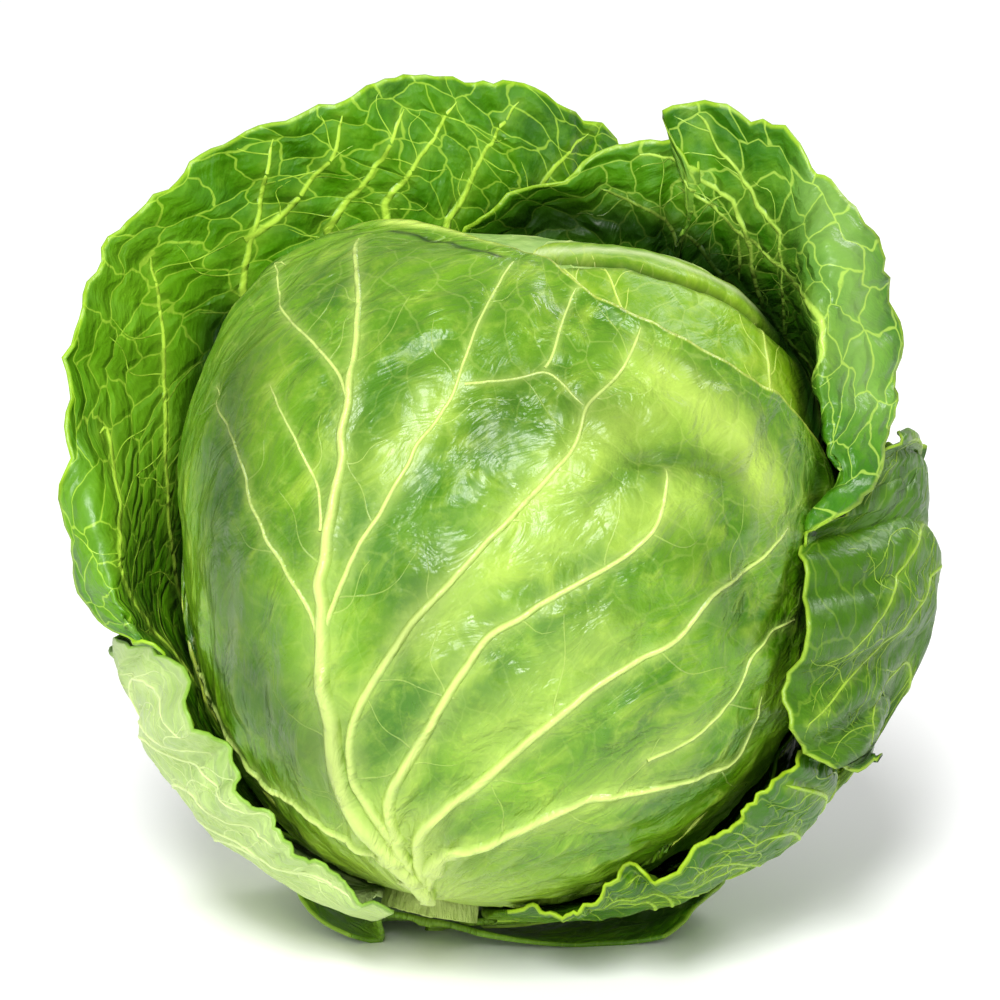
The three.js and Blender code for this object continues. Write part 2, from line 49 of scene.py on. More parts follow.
CENTRE_UP = 17.8  # of the photo's middle above the heart's
MM_PER_PIXEL = 0.274
PHOTO_MIDDLE = 500
STEM_TIP = np.array([-20.0, -98.0, 0.0])
STEM_RADIUS = 12.0
STEM_FLARE = 2.5
STEM_GAP = 0.6
BLADE = 1.2
BLADE_AT_STEM = 1.7
LOWEST = 2.0  # height that the leaves keep above the floor

AXES = np.array([
    [1, 0, 0],
    [0, math.sin(TILT), math.cos(TILT)],
    [0, -math.cos(TILT), math.sin(TILT)],
])


def to_world(p):
    return (p @ AXES + np.array([0, 0, HEIGHT])) / 1000


def unit(v):
    return v / np.maximum(np.linalg.norm(v, axis=-1, keepdims=True), 1e-9)


def heart_radius(d):
    return (np.abs(d / HEART) ** ROUNDNESS).sum(axis=-1) ** (-1 / ROUNDNESS)


def lift_of(p):
    return np.linalg.norm(p, axis=-1) - heart_radius(unit(p))


def smooth(x):
    t = np.clip(x, 0, 1)
    return t * t * (3 - 2 * t)


def lerp(a, b, t):
    return a + (b - a) * t


def gaps(points, axis):
    return np.linalg.norm(np.diff(points, axis=axis), axis=-1)


def sums_of(lengths):
    return np.concatenate([[0], np.cumsum(lengths)])


def front(right, up, lift):
    """A point of the heart's front, raised by lift; behind is one of its back."""
    x, y = abs(right / (HEART[0] + lift)), abs(up / (HEART[1] + lift))
    rest = 1 - x ** ROUNDNESS - y ** ROUNDNESS
    return [right, up, (HEART[2] + lift) * max(rest, 0) ** (1 / ROUNDNESS)]


def behind(right, up, lift):
    r, u, near = front(right, up, lift)
    return [r, u, -near]


def at(right, up, near):
    scale = 1 - near / DISTANCE
    return [right * scale, CENTRE_UP + (up - CENTRE_UP) * scale, near]


def placed(x, y, z):
    return list(AXES @ np.array([x, y, z - HEIGHT]))


def pixels(p):
    """Where points are seen in the photo."""
    scale = DISTANCE / (DISTANCE - p[..., 2]) / MM_PER_PIXEL
    return PHOTO_MIDDLE + np.stack([p[..., 0] * scale, -(p[..., 1] - CENTRE_UP) * scale], axis=-1)


def through(points, t):
    """Smooth lines through points of shape (n + 1, lines, 3 or more), at each t from 0 to 1."""
    n = len(points) - 1
    k = np.minimum((t * n).astype(int), n - 1)
    w = (t * n - k)[:, None, None]
    long = np.concatenate([[2 * points[0] - points[1]], points, [2 * points[-1] - points[-2]]])
    gap = np.sqrt(np.maximum(gaps(long[..., :3], 0), 0.001))[..., None]
    x0, x1, x2, x3 = long[k], long[k + 1], long[k + 2], long[k + 3]
    s0, s1, s2 = gap[k], gap[k + 1], gap[k + 2]
    v1 = s1 * ((x1 - x0) / s0 - (x2 - x0) / (s0 + s1) + (x2 - x1) / s1)
    v2 = s1 * ((x2 - x1) / s1 - (x3 - x1) / (s1 + s2) + (x3 - x2) / s2)
    c2 = 3 * (x2 - x1) - 2 * v1 - v2
    c3 = 2 * (x1 - x2) + v1 + v2
    return x1 + v1 * w + c2 * w * w + c3 * w * w * w


def even_cuts(lengths, count):
    sums = sums_of(lengths)
    goals = sums[-1] * np.arange(count + 1) / count
    return np.interp(goals, sums, np.arange(len(sums))) / len(lengths)


STEM_AXIS = unit(STEM_TIP)
STEM_FRONT = unit(np.array([0, 0, 1.0]) - STEM_AXIS[2] * STEM_AXIS)
STEM_RIGHT = unit(np.cross(STEM_AXIS, STEM_FRONT))
if STEM_RIGHT[0] < 0:
    STEM_RIGHT = -STEM_RIGHT


def foot(angle, lift):
    a = math.radians(angle)
    out = STEM_RADIUS + STEM_FLARE + STEM_GAP + BLADE_AT_STEM / 2
    start = STEM_AXIS * (heart_radius(STEM_AXIS) + lift)
    return start + STEM_FRONT * out * math.cos(a) + STEM_RIGHT * out * math.sin(a)


def ray_points(start, own, lift, foot_lift):
    a, b = unit(start), unit(own[0])
    angle = math.acos(np.clip(a @ b, -1, 1))
    axis = unit(np.cross(a, b))
    steps = max(1, round(angle / 0.4))
    line = [[*start, lift_of(start)]]
    last = lift_of(own[0])
    for i in range(1, steps):
        share = i / steps
        turn = angle * share
        d = a * math.cos(turn) + np.cross(axis, a) * math.sin(turn)
        low = lerp(foot_lift, lift, smooth(share * 2.5))
        off = lerp(low, last, smooth((share - 0.4) / 0.6))
        line.append([*(d * (heart_radius(d) + off)), off])
    return np.array(line + [[*p, lift_of(p)] for p in own])


def settled(p):
    d = unit(p[..., :3])
    return d * (heart_radius(d) + p[..., 3])[..., None]


def leaf_sheet(leaf, across, along):
    rays, around = leaf["rays"], leaf["around"]
    lines = []
    for i, ray in enumerate(rays):
        angle = lerp(around[0], around[1], i / (len(rays) - 1))
        own = np.array(ray, dtype=float)
        points = ray_points(foot(angle, leaf["foot_lift"]), own, leaf["lift"], leaf["foot_lift"])[:, None]
        fine = through(points, np.linspace(0, 1, 161))[:, 0]
        cuts = even_cuts(gaps(fine[:, :3], 0), along)
        lines.append(through(points, cuts)[:, 0])
    lines = np.array(lines)
    cuts = even_cuts(gaps(lines[..., :3], 0).sum(axis=1), across)
    return settled(through(lines, cuts)).transpose(1, 0, 2)


def normals_of(rows):
    u = np.gradient(rows, axis=1)
    v = np.gradient(rows, axis=0)
    n = unit(np.cross(u, v))
    j, i = round((rows.shape[0] - 1) / 2), round((rows.shape[1] - 1) / 2)
    return n * np.sign(n[j, i] @ rows[j, i])


def grid(rows):
    """u and v of every point of a sheet, from 0 to 1 across its rays and from foot to rim."""
    v, u = np.meshgrid(np.linspace(0, 1, rows.shape[0]), np.linspace(0, 1, rows.shape[1]), indexing="ij")
    return u, v


def frill(rows, height, size, ragged, seed):
    """An uneven rim: it swings up and down by height, and in and out by ragged."""
    u, v = grid(rows)
    rim = sums_of(gaps(rows[-1], 0))
    ends = smooth(np.minimum(u, 1 - u) * 12)
    swing, shift = (
        np.array([noise.fractal(Vector((x / size, seed + 9.7 * k, 0.5)), 1.0, 2.0, 3) for x in rim]) for k in (1, 2)
    )
    forward = unit(np.gradient(rows, axis=0))
    up = normals_of(rows) * (height * smooth((v - 0.55) / 0.45) ** 1.5 * ends * swing)[..., None]
    return rows + up + forward * (ragged * smooth((v - 0.8) / 0.2) * ends * shift)[..., None]


def wave(rows, height, count, phase):
    """Waves across a sheet, which grow towards its rim."""
    u, v = grid(rows)
    ends = np.minimum(np.minimum(1, 6 * u), 6 * (1 - u))
    swing = np.sin(2 * math.pi * (count * u + phase) + 0.8 * np.sin(9 * u))
    return rows + normals_of(rows) * (height * smooth(v) ** 3 * ends * swing)[..., None]


finished = []  # a search tree of each leaf that is built
RAY_START = 300.0  # outside of all leaves
RAY_LENGTH = 290.0  # so that a ray stays on its own side of the heart
CLEAR_STEP = 3  # every third point of a sheet is tested


def reach(d):
    """How far out the finished leaves and the heart reach in each direction."""
    out = heart_radius(d)
    for tree in finished:
        for k, direction in enumerate(d):
            v = Vector(direction)
            hit = tree.ray_cast(v * RAY_START, -v, RAY_LENGTH)[0]
            if hit is not None:
                out[k] = max(out[k], hit.length)
    return out


def spread(a, times):
    for _ in range(times):
        p = np.pad(a, 1, mode="edge")
        a = np.maximum.reduce([p[1:-1, 1:-1], p[:-2, 1:-1], p[2:, 1:-1], p[1:-1, :-2], p[1:-1, 2:]])
    return a


def blurred(a, times):
    for _ in range(times):
        p = np.pad(a, 1, mode="edge")
        a = (p[1:-1, 1:-1] * 2 + p[:-2, 1:-1] + p[2:, 1:-1] + p[1:-1, :-2] + p[1:-1, 2:]) / 6
    return a


def clear(rows, gap):
    """Pushes a sheet out until it is clear of the finished leaves."""
    part = rows[::CLEAR_STEP, ::CLEAR_STEP]
    length = np.linalg.norm(part, axis=-1)
    d = unit(part)
    facing = np.clip(np.abs((normals_of(rows)[::CLEAR_STEP, ::CLEAR_STEP] * d).sum(axis=-1)), 0.6, 1)
    need = reach(d.reshape(-1, 3)).reshape(length.shape) + gap / facing - length
    push = blurred(spread(np.maximum(need, 0), 1), 2)
    return rows + unit(rows) * sheet_point(push, *grid(rows))[..., None]


def noise_field(points, size, seed, octaves=3):
    """Smooth noise from about -1 to 1 over points, with features of about this size in millimetres."""
    p = points.reshape(-1, 3) / size + seed * 7.31
    out = np.array([noise.fractal(Vector(q), 1.0, 2.0, octaves) for q in p])
    return out.reshape(points.shape[:-1])


# The leaves, from the heart outwards.
LEAVES = {}
DEFAULTS = {
    "seed": 3,
    "frill": (2, 14, 2),
    "midrib": 0.5,  # its place across the leaf
    "rib": 1.0,  # most height along the main veins
    "relief": 0.5, "crinkle": 11,  # height and size of the crinkles
    "streak": 0, "streak_size": 6,  # the same of the slanting streaks
    "spacing": 11, "reach": 20, "branch": 0.8,  # distance, length and width of the second veins
    "faint": 0.75,  # strength of the second veins' colour
    "third": True,  # has third veins
    "leads": True,  # its veins are led to the stem
    "veined": (("outer", 0.5),),  # faces with raised veins, and their height over their half width
    "hidden_beyond": -1000,  # what is farther back isn't seen in the photo
    "lowest": False,  # it carries the head
    "lips": (),  # raised rims: height, and their start along the leaf and start and end across it
    # Pale rims are partly the margin's own colour and partly painted light where the rim catches it.
    "edges": (),  # pale rims: start and end across the leaf, and width
    "shifts": (),  # rims moved: the start along the leaf, and knots across it with their moves
    "pulls": (),  # places moved: pixel, size and move
}


def leaf(name, rays, **facts):
    """Keeps a leaf's facts. Of its rays' plain tuples, three numbers are what at takes, and two lie on the front."""
    points = [[p if isinstance(p, list) else at(*p) if len(p) == 3 else front(*p, facts["lift"]) for p in ray]
              for ray in rays]
    LEAVES[name] = {**DEFAULTS, **facts, "rays": points}


INNER_LEAF = {"rib": 0.4, "veined": (("outer", 0.3),), "relief": 0.35, "third": False}
BIG_WRAPPER = {"veined": (("inner", 0.25), ("outer", 0.4)), "branch": 0.6, "spacing": 13, "third": False}

leaf("head_leaf_back", slot="waxy_leaf", around=(-70, -200), lift=2.2, foot_lift=2.2, size=(130, 90),
     hidden_beyond=-26, spacing=18, wave=(0.4, 5, 0.2), frill=(0.5, 12, 1), **INNER_LEAF, rays=[
    [behind(-60, -60, 2.2)], [behind(-74, -34, 2.2)], [behind(-80, 0, 2.2)], [behind(-74, 20, 2.2), (-74, 30)],
    [behind(-66, 40, 2.2), (-60, 56)], [behind(-50, 46, 2.2), (-40, 79, -4), (-42, 68)],
    [behind(-34, 36, 2.2), (-18, 89, -6), (-24, 76)], [behind(-12, 30, 2.2), (6, 89, -8), (2, 78)],
    [behind(10, 26, 2.2), (33, 86, -12), (28, 73)], [behind(32, 22, 2.2), (53, 81, -16), (48, 65)],
    [behind(52, 16, 2.2), (66, 71, -18), (61, 53)], [behind(66, 6, 2.2), (77, 53, -22), (73, 36)],
    [behind(74, -10, 2.2), (83, 24, -22)], [behind(66, -44, 2.2)], [behind(36, -72, 2.2)],
])
leaf("head_leaf_right", slot="head_leaf", around=(10, 150), lift=4.2, foot_lift=4.2, size=(230, 130),
     wave=(0, 4, 0), hidden_beyond=-14, frill=(0.6, 12, 1), streak=0.5, **INNER_LEAF, rays=[
    [(8, -78)], [(12, -40)], [(8, 10)], [(6, 44)], [(4, 68)], [(22, 40), (14, 81, 18)], [(36, 36), (36, 80, 10)],
    [(52, 28), (52, 76, 5)], [front(66, 22, 4.4), (68, 69, 0)], [front(76, 10, 5), (80, 58, -10)],
    [(84, -8, 16), (87, 44, -2), (84, 44, -30)], [(86, -16, -2), (87, 18, -12), (82, 24, -42)],
    [(84, -28, -16), (80, -4, -48)], [(74, -40, -34), (66, -30, -54)], [(46, -66, -44)], [(18, -86, -20)],
])
leaf("head_leaf_front", slot="head_leaf", around=(-82, 82), lift=6, foot_lift=6.6, size=(250, 150),
     wave=(0.5, 9, 0), hidden_beyond=-40, leads=False, rib=1.4, veined=(("outer", 0.7),), relief=0.8, crinkle=14,
     streak=1.6, streak_size=8, frill=(1, 18, 2), spacing=24, reach=20, branch=0.7, faint=0.28, third=False,
     lips=[(6, 0.95, 0.28, 0.52), (3.6, 0.955, 0.48, 0.76)], edges=[(0.27, 0.5, 2.2), (0.5, 0.76, 1.4)],
     shifts=[(0.88, [(0.27, (0, 0, 0)), (0.32, (0, -3, 3)), (0.46, (0, -3, 3)), (0.52, (0, 0, 0))])], rays=[
    [(-36, -83)], [(-50, -72)], [(-63, -60)], [(-74, -47)], [(-85, -24, -16)], [(-87, 4, -24)], [(-82, 30, -26)],
    [(-74, 54, -20)], [(-61, 78, -10)], [(-48, 92, -2)], [(-30, 96, 4)], [(-10, 92, 16)], [(10, 84, 34)],
    [front(26, 72, 6.2)], [front(40, 64, 6.2)], [front(54, 56, 6.2)], [front(69, 45, 6.2)], [(80, 36, 20)],
    [(87, 24, 8)], [(89, 4, 4)], [(86, -18, 8)], [(80, -36, 16)], [(70, -51)], [(56, -64)], [(42, -76)], [(27, -86)],
    [(8, -92)],
])
leaf("wrapper_right", slot="green_leaf", around=(176, 92), lift=7.6, foot_lift=6.6, size=(220, 130),
     wave=(1.2, 12, 0.4), frill=(3, 11, 4), seed=5, **BIG_WRAPPER,
     pulls=[((838, 528), 11, (-9, -1, 9)), ((868, 480), 10, (-1, 0, 5))],
     edges=[(0.74, 0.9, 2.2)], midrib=0.66, rays=[
    [(-8, -82, -29), (-9, -83, -32), (-10, -83, -35)], [(-4, -58, -72), (-8, -54, -74), (-12, -50, -76)],
    [(-4, -10, -88), (-9, -4, -89), (-14, 2, -90)], [(-2, 36, -84), (-8, 46, -82), (-14, 54, -80)],
    [(2, 66, -68), (-6, 78, -58), (-12, 86, -46)], [(14, 82, -56), (4, 90, -48), (-6, 96, -34)],
    [(28, 86, -54), (22, 98, -48), (13, 104, -36)], [(38, 86, -54), (38, 102, -46), (36, 117, -40)],
    [(44, 84, -56), (48, 98, -48), (50, 114, -40)], [(47, 82, -56), (52, 96, -46), (53, 110, -38)],
    [(50, 80, -57), (53, 100, -44), (44, 125, -38)], [(54, 78, -57), (60, 100, -44), (57, 127, -35)],
    [(60, 74, -57), (68, 96, -38), (72, 122, -28)], [(66, 68, -56), (77, 92, -26), (84, 112, -18)],
    [(74, 60, -52), (86, 86, -4), (96, 98, -14)], [(80, 48, -46), (87, 66, 10), (107, 78, -9)],
    [(84, 34, -42), (87, 46, 15), (110, 54, -6)], [(87, 20, -38), (89, 31, 20), (107, 36, 6)],
    [(89, 8, -34), (92, 16, 24), (99, 13, 24)], [(90, -8, -30), (92, 4, 12), (90, 5, 24)],
    [(84, -30, -28), (88, -26, -10), (90, -22, 2)], [(68, -58, -30), (72, -58, -20), (75, -58, -10)],
    [(42, -82, -30), (44, -83, -22), (46, -84, -14)],
])
leaf("wrapper_left", slot="green_leaf", around=(-92, -164), lift=10.2, foot_lift=5.6, size=(200, 130),
     wave=(1.6, 10, 0.1), frill=(3.5, 12, 4), seed=6, **BIG_WRAPPER, rays=[
    [(-33, -84, -18), (-35, -82, -13)], [(-56, -74, -20), (-62, -72, 2)], [(-74, -52, -22), (-82, -46, 12)],
    [(-83, -34, -30), (-93, -27, 14)], [(-86, -20, -38), (-102, -15, 11), (-110, -17, 4)],
    [(-86, -5, -44), (-107, -3, 7), (-116, -5, -2)], [(-84, 10, -48), (-110, 10, 1), (-117.5, 12, -5)],
    [(-80, 34, -50), (-118, 46, -9)], [(-68, 60, -54), (-110, 84, -17)], [(-46, 80, -54), (-85, 109, -27)],
    [(-18, 90, -54), (-44, 128, -34)], [(6, 90, -57), (-8, 134, -39)], [(24, 84, -66), (30, 118, -56)],
    [(34, 62, -82), (50, 92, -74)], [(34, 20, -96), (52, 40, -92)], [(22, -28, -94), (38, -20, -94)],
    [(4, -66, -68), (10, -62, -76)], [(-12, -90, -30), (-6, -90, -36)],
])
leaf("wrapper_low_left", slot="pale_leaf", around=(-94, -150), lift=11.5, foot_lift=10, size=(160, 100),
     wave=(1.4, 11, 0.3), frill=(4.5, 9, 3), seed=7, relief=0.7,
     shifts=[(0.6, [(0.37, (0, 0, 0)), (0.4, (0.5, 4.5, -6)), (0.425, (1, 8.5, -9)), (0.45, (1.5, 12, -9)),
                    (0.475, (2, 11, -8)), (0.5, (3, 8, -5)), (0.53, (6, 3, 0)), (0.56, (6, -3, 0)),
                    (0.61, (5, -6, 0)), (0.65, (3, -4, 0)), (0.7, (0, 0, 0))])], rays=[
    [(-36, -96, 0), (-29, -95, 18)], [(-50, -91, 4), (-43, -88, 30)], [(-66, -82, 4), (-58, -76, 36)],
    [(-80, -71, 2), (-70, -63, 35)], [(-90, -59, -2), (-78, -48, 33)], [(-98, -46, -6), (-86, -35, 30)],
    [(-103, -36, -12), (-104, -31, 8)], [(-102, -28, -28), (-109, -23, -16)], [(-96, -26, -46), (-107, -14, -42)],
    [(-80, -38, -60), (-87, -22, -68)], [(-54, -62, -62), (-57, -50, -76)], [(-32, -84, -42), (-30, -80, -52)],
])
leaf("wrapper_low_right", slot="green_leaf", around=(98, 118), lift=11, foot_lift=9.6, size=(140, 80),
     wave=(1.4, 9, 0.6), frill=(4.5, 8, 3), seed=8, relief=0.9, crinkle=8, rays=[
    [(3, -95, 6), (2, -95, 22)], [(26, -93, 12), (24, -91, 34)], [(50, -90, 14), (42, -84, 42)],
    [(70, -81, 10), (60, -73, 44)], [(85, -71, 4), (74, -62, 42)], [(91, -58, 0), (84, -50, 28)],
    [(91, -50, -18), (91, -40, -6)], [(78, -58, -38), (82, -46, -40)], [(46, -77, -38), (46, -72, -48)],
])
leaf("wrapper_far_right", slot="waxy_leaf", around=(122, 152), lift=15, foot_lift=13, size=(170, 110),
     wave=(1.4, 9, 0.8), frill=(5, 10, 4), seed=9,
     shifts=[(0.25, [(0.38, (0, 0, 0)), (0.42, (1, 3.5, -7)), (0.45, (0, 5, -9)), (0.475, (-1, 14, -13)),
                     (0.495, (-3, 18, -10)), (0.52, (-5, 17, -8)), (0.545, (-1, 12, -4)), (0.57, (0, 5, -2)),
                     (0.6, (-1, -3, 0)), (0.64, (0, -5, 0)), (0.69, (0, 0, 0))])],
     relief=0.9, rays=[
    [(48, -82, -36), (58, -78, -26)], [(74, -66, -36), (88, -58, -12)], [(98, -48, -16), (103, -52, 16)],
    [(104, -40, -4), (92, -56, 34)], [(108, -32, 0), (80, -47, 46)], [(114, -22, -2), (80, -31, 48)],
    [(118, -8, -5), (82, -12, 47)], [(119, 5, -9), (86, 3, 41)], [(118, 13, -14), (103, 9, 24)],
    [(113, 18, -28), (113, 26, -8)], [(106, 16, -44), (114, 36, -28)], [(95, 6, -60), (101, 34, -56)],
    [(78, -14, -74), (82, 12, -84)], [(56, -46, -76), (58, -32, -90)], [(30, -80, -56), (32, -74, -68)],
])
leaf("wrapper_under", slot="green_leaf", around=(-118, -242), lift=24, foot_lift=16, size=(120, 70),
     wave=(1.6, 6, 0), lowest=True, third=False, rays=[
    [placed(-33, -10, 0.6), placed(-42, -12, 3)], [placed(-40, 4, 0.6), placed(-60, 6, 10)],
    [placed(-36, 22, 0.6), placed(-64, 30, 20)], [placed(-22, 34, 0.6), placed(-44, 58, 24)],
    [placed(0, 38, 0.6), placed(0, 70, 20)], [placed(22, 34, 0.6), placed(42, 60, 22)],
    [placed(38, 20, 0.6), placed(62, 34, 18)], [placed(41, 2, 0.6), placed(60, 4, 9)],
    [placed(34, -12, 0.6), placed(46, -13, 3)],
])

# Veins as they are seen in the photo, each a width at its start and end in millimetres and its pixels.
VEINS = {
    "head_leaf_front": [
        (9.5, 1.5, (430, 888), (380, 840), (345, 790), (330, 720), (322, 640), (322, 580), (335, 490), (350, 400),
         (358, 340), (358, 240)),
        (5.0, 1.2, (416, 876), (391, 822), (388, 802), (403, 770), (421, 740), (460, 676), (488, 635), (564, 593),
         (632, 550), (662, 518), (667, 472)),
        (4.6, 1.0, (412, 866), (354, 777), (350, 741), (357, 710), (380, 674), (405, 632), (426, 607), (460, 570),
         (495, 534), (536, 492), (575, 449), (582, 426), (583, 405), (610, 385), (628, 365), (637, 335), (640, 328)),
        (2.4, 0.9, (322, 650), (328, 622), (338, 591), (361, 545), (380, 515), (403, 476), (414, 449), (437, 419),
         (458, 388), (467, 358), (481, 328), (486, 308), (504, 278), (513, 262)),
        (1.3, 0.9, (463, 385), (520, 380), (547, 368), (582, 405)),
        (1.2, 0.8, (547, 368), (560, 340), (568, 305), (580, 287)),
        (5.0, 1.1, (424, 880), (418, 835), (435, 811), (479, 785), (500, 764), (532, 735), (576, 700), (605, 679),
         (643, 659), (679, 638), (696, 615), (706, 594), (740, 575), (755, 564), (783, 530)),
        (5.0, 1.2, (428, 884), (434, 858), (453, 848), (482, 843), (517, 826), (588, 799), (635, 791), (693, 776),
         (734, 761), (752, 732), (758, 697)),
        (1.5, 0.9, (649, 758), (693, 741), (723, 714), (740, 688), (746, 659), (773, 628), (792, 619)),
        (2.2, 0.9, (324, 660), (313, 614), (304, 594), (276, 554), (251, 499), (240, 447), (224, 414), (217, 387)),
        (1.6, 0.8, (325, 530), (322, 492), (304, 456), (272, 387)),
        (1.6, 0.8, (350, 405), (342, 378), (320, 349), (293, 326), (276, 299), (274, 287), (286, 267)),
        (4.2, 1.0, (412, 872), (360, 842), (300, 806), (255, 779), (235, 760), (215, 700), (200, 640), (194, 604),
         (189, 553)),
    ],
    "wrapper_left": [
        (4.2, 1.8, (179, 665), (172, 651), (156, 636), (139, 613), (122, 583), (116, 559), (117, 540), (120, 510),
         (105, 420), (100, 430)),
        (3.2, 1.3, (240, 290), (255, 220), (265, 180), (270, 140)),
        (3.2, 1.3, (245, 240), (285, 212), (330, 160), (347, 115)),
        (3.2, 1.3, (328, 228), (360, 185), (390, 145), (400, 110)),
        (2.9, 1.1, (385, 205), (420, 160), (455, 100)),
        (2.9, 1.1, (450, 220), (485, 150), (515, 105)),
        (2.5, 1.1, (535, 195), (560, 160), (590, 130)),
        (2.9, 1.3, (178, 600), (168, 530), (164, 460), (163, 330), (150, 260)),
    ],
    "wrapper_right": [
        (3.1, 1.1, (815, 370), (773, 318), (753, 303), (738, 287), (716, 269), (704, 252), (686, 232), (661, 217),
         (635, 200), (612, 197), (600, 191)),
        (2.9, 1.1, (814, 312), (798, 288), (784, 269), (768, 255), (756, 242), (742, 239), (738, 228), (726, 219),
         (704, 206), (695, 194), (677, 185)),
        (1.8, 0.9, (742, 239), (739, 281)),
        (2.3, 0.9, (738, 202), (719, 196), (700, 179), (687, 168), (672, 162), (657, 156), (635, 153)),
        (2.6, 1.0, (781, 234), (761, 209), (753, 194), (738, 170), (719, 151), (707, 127), (696, 105)),
    ],
}

CREASE = ((530, 263), (560, 263), (587, 262), (632, 267), (690, 284), (720, 297), (745, 312), (790, 354))
# Creases seen in the photo: depth and half width in millimetres, and their pixels.
FOLDS = {
    "head_leaf_right": [(4.0, 1.9, *CREASE)],
    "head_leaf_front": [
        (1.8, 2.2, (636, 462), (660, 466), (690, 469), (722, 470)),
        (0.8, 1.8, (560, 838), (600, 832), (640, 826)),
        (0.8, 1.8, (570, 862), (610, 852), (650, 838)),
    ],
}

# Painted shade: where a leaf is seen darkest, mostly the shade in its hollows, creases and under its rims: a half
# width in millimetres, how much from 0 to 1, and the pixels along the line.
PAINTED_SHADE = {
    "head_leaf_back": [(12, 1, (780, 330), (800, 380), (812, 420), (818, 480))],
    "head_leaf_right": [
        (11, 1, (776, 314), (794, 350), (806, 392), (814, 440), (818, 480)),
        (2.6, 1, *CREASE),
    ],
    "head_leaf_front": [
        (3.5, 1, (192, 560), (198, 640), (212, 700)), (4, 0.8, (816, 470), (810, 540), (800, 620)),
        (18, 0.58, (240, 380), (222, 500), (240, 660), (290, 740)), (10, 0.2, (330, 280), (420, 250)),
        (1.5, 0.9, (392, 230), (430, 234), (463, 243), (500, 255)), (9, 0.3, (560, 400), (640, 420)),
        (8, 0.3, (480, 440), (520, 380)), (9, 0.3, (700, 560), (740, 620)), (8, 0.25, (430, 560), (400, 640)),
        (4, 0.35, (640, 458), (690, 462), (735, 470)),
    ],
    "wrapper_right": [(10, 0.95, (520, 225), (580, 222), (640, 232), (700, 255), (750, 290), (790, 350), (806, 420)),
                      (9, 1, (800, 380), (810, 430), (815, 480), (816, 520))],
    "wrapper_left": [
        (9, 1, (222, 330), (205, 400), (190, 470), (184, 560), (186, 620), (190, 660)), (7, 1, (500, 222), (540, 210)),
    ],
}
# And where it is seen palest, in the same way: mostly painted light on its lit parts, painted highlights and rims that
# catch the light, and partly the front leaf's paler neck and the pale waxy band.
LIT_AND_PALE = {
    "head_leaf_front": [
        (9, 0.5, (520, 520), (600, 440), (680, 400)), (8, 0.45, (430, 640), (500, 560), (600, 520), (690, 500)),
        (7, 0.4, (380, 470), (440, 400)), (9, 0.35, (480, 740), (600, 640)), (8, 0.3, (560, 820), (680, 740)),
        (2.2, 1, (392, 217), (430, 221), (463, 229), (500, 241)), (12, 0.4, (430, 905), (418, 870), (400, 830)),
        (10, 0.7, (660, 380), (740, 440), (760, 480)),
    ],
    "head_leaf_right": [(2.4, 1, (530, 254), (600, 251), (660, 258), (713, 280), (745, 300), (775, 325))],
    "head_leaf_back": [(4, 0.7, (540, 254), (600, 250), (660, 258), (720, 280))],
    "wrapper_right": [(11, 0.5, (822, 200), (850, 260), (858, 330), (862, 390))],
    "wrapper_left": [(24, 0.5, (125, 300), (135, 420), (120, 500)), (8, 0.4, (90, 560), (110, 600))],
}


def beside(rows, half_width, spots, seen):
    """1 on a line of photo pixels, and less and less beside it."""
    uv = traced(rows, spots, seen)
    line = np.column_stack([uv, np.full(len(uv), 2.0 * half_width)])
    return np.exp(-(vein_fields(rows, [line])[0] ** 2))


def marked(lines, rows, seen):
    """How much each point belongs to the marked lines, from 0 to 1."""
    out = np.zeros(rows.shape[:-1])
    for half_width, amount, *spots in lines:
        out = np.maximum(out, amount * beside(rows, half_width, spots, seen))
    return out


def nearest_spot(rows, pixel, seen):
    """Row and column of the sheet's point that is seen at a pixel."""
    apart = np.linalg.norm(seen - np.array(pixel), axis=-1)
    return np.unravel_index(np.argmin(apart), apart.shape)


def sheet_point(rows, u, v):
    """A sheet's points, or its values, at u and v."""
    x, y = np.clip(u, 0, 1) * (rows.shape[1] - 1), np.clip(v, 0, 1) * (rows.shape[0] - 1)
    i, j = np.minimum(x.astype(int), rows.shape[1] - 2), np.minimum(y.astype(int), rows.shape[0] - 2)
    a, b = x - i, y - j
    if rows.ndim == 3:
        a, b = a[:, None], b[:, None]
    low = rows[j, i] * (1 - a) + rows[j, i + 1] * a
    return low * (1 - b) + (rows[j + 1, i] * (1 - a) + rows[j + 1, i + 1] * a) * b


def traced(rows, spots, seen):
    """A line of photo pixels as (u, v) on the sheet."""
    dense = []
    for (x0, y0), (x1, y1) in zip(spots, spots[1:]):
        n = max(2, int(math.hypot(x1 - x0, y1 - y0) / 5))
        dense += [(lerp(x0, x1, k / n), lerp(y0, y1, k / n)) for k in range(n)]
    dense.append(spots[-1])
    cells = np.array([nearest_spot(rows, p, seen) for p in dense], dtype=float)
    uv = np.stack([cells[:, 1] / (rows.shape[1] - 1), cells[:, 0] / (rows.shape[0] - 1)], axis=-1)
    for _ in range(8):
        uv[1:-1] = (uv[:-2] + 2 * uv[1:-1] + uv[2:]) / 4
    return uv


def photo_veins(name, rows, seen):
    """The photo's veins on the sheet, as lists of (u, v, width)."""
    out = []
    for start, end, *spots in VEINS.get(name, []):
        uv = traced(rows, spots, seen)
        out.append(np.column_stack([uv, lerp(start, end, np.linspace(0, 1, len(uv)) ** 0.6)]))
    return out


SIDE_VEINS = 6  # on each side of the midrib of a leaf whose veins the photo doesn't show


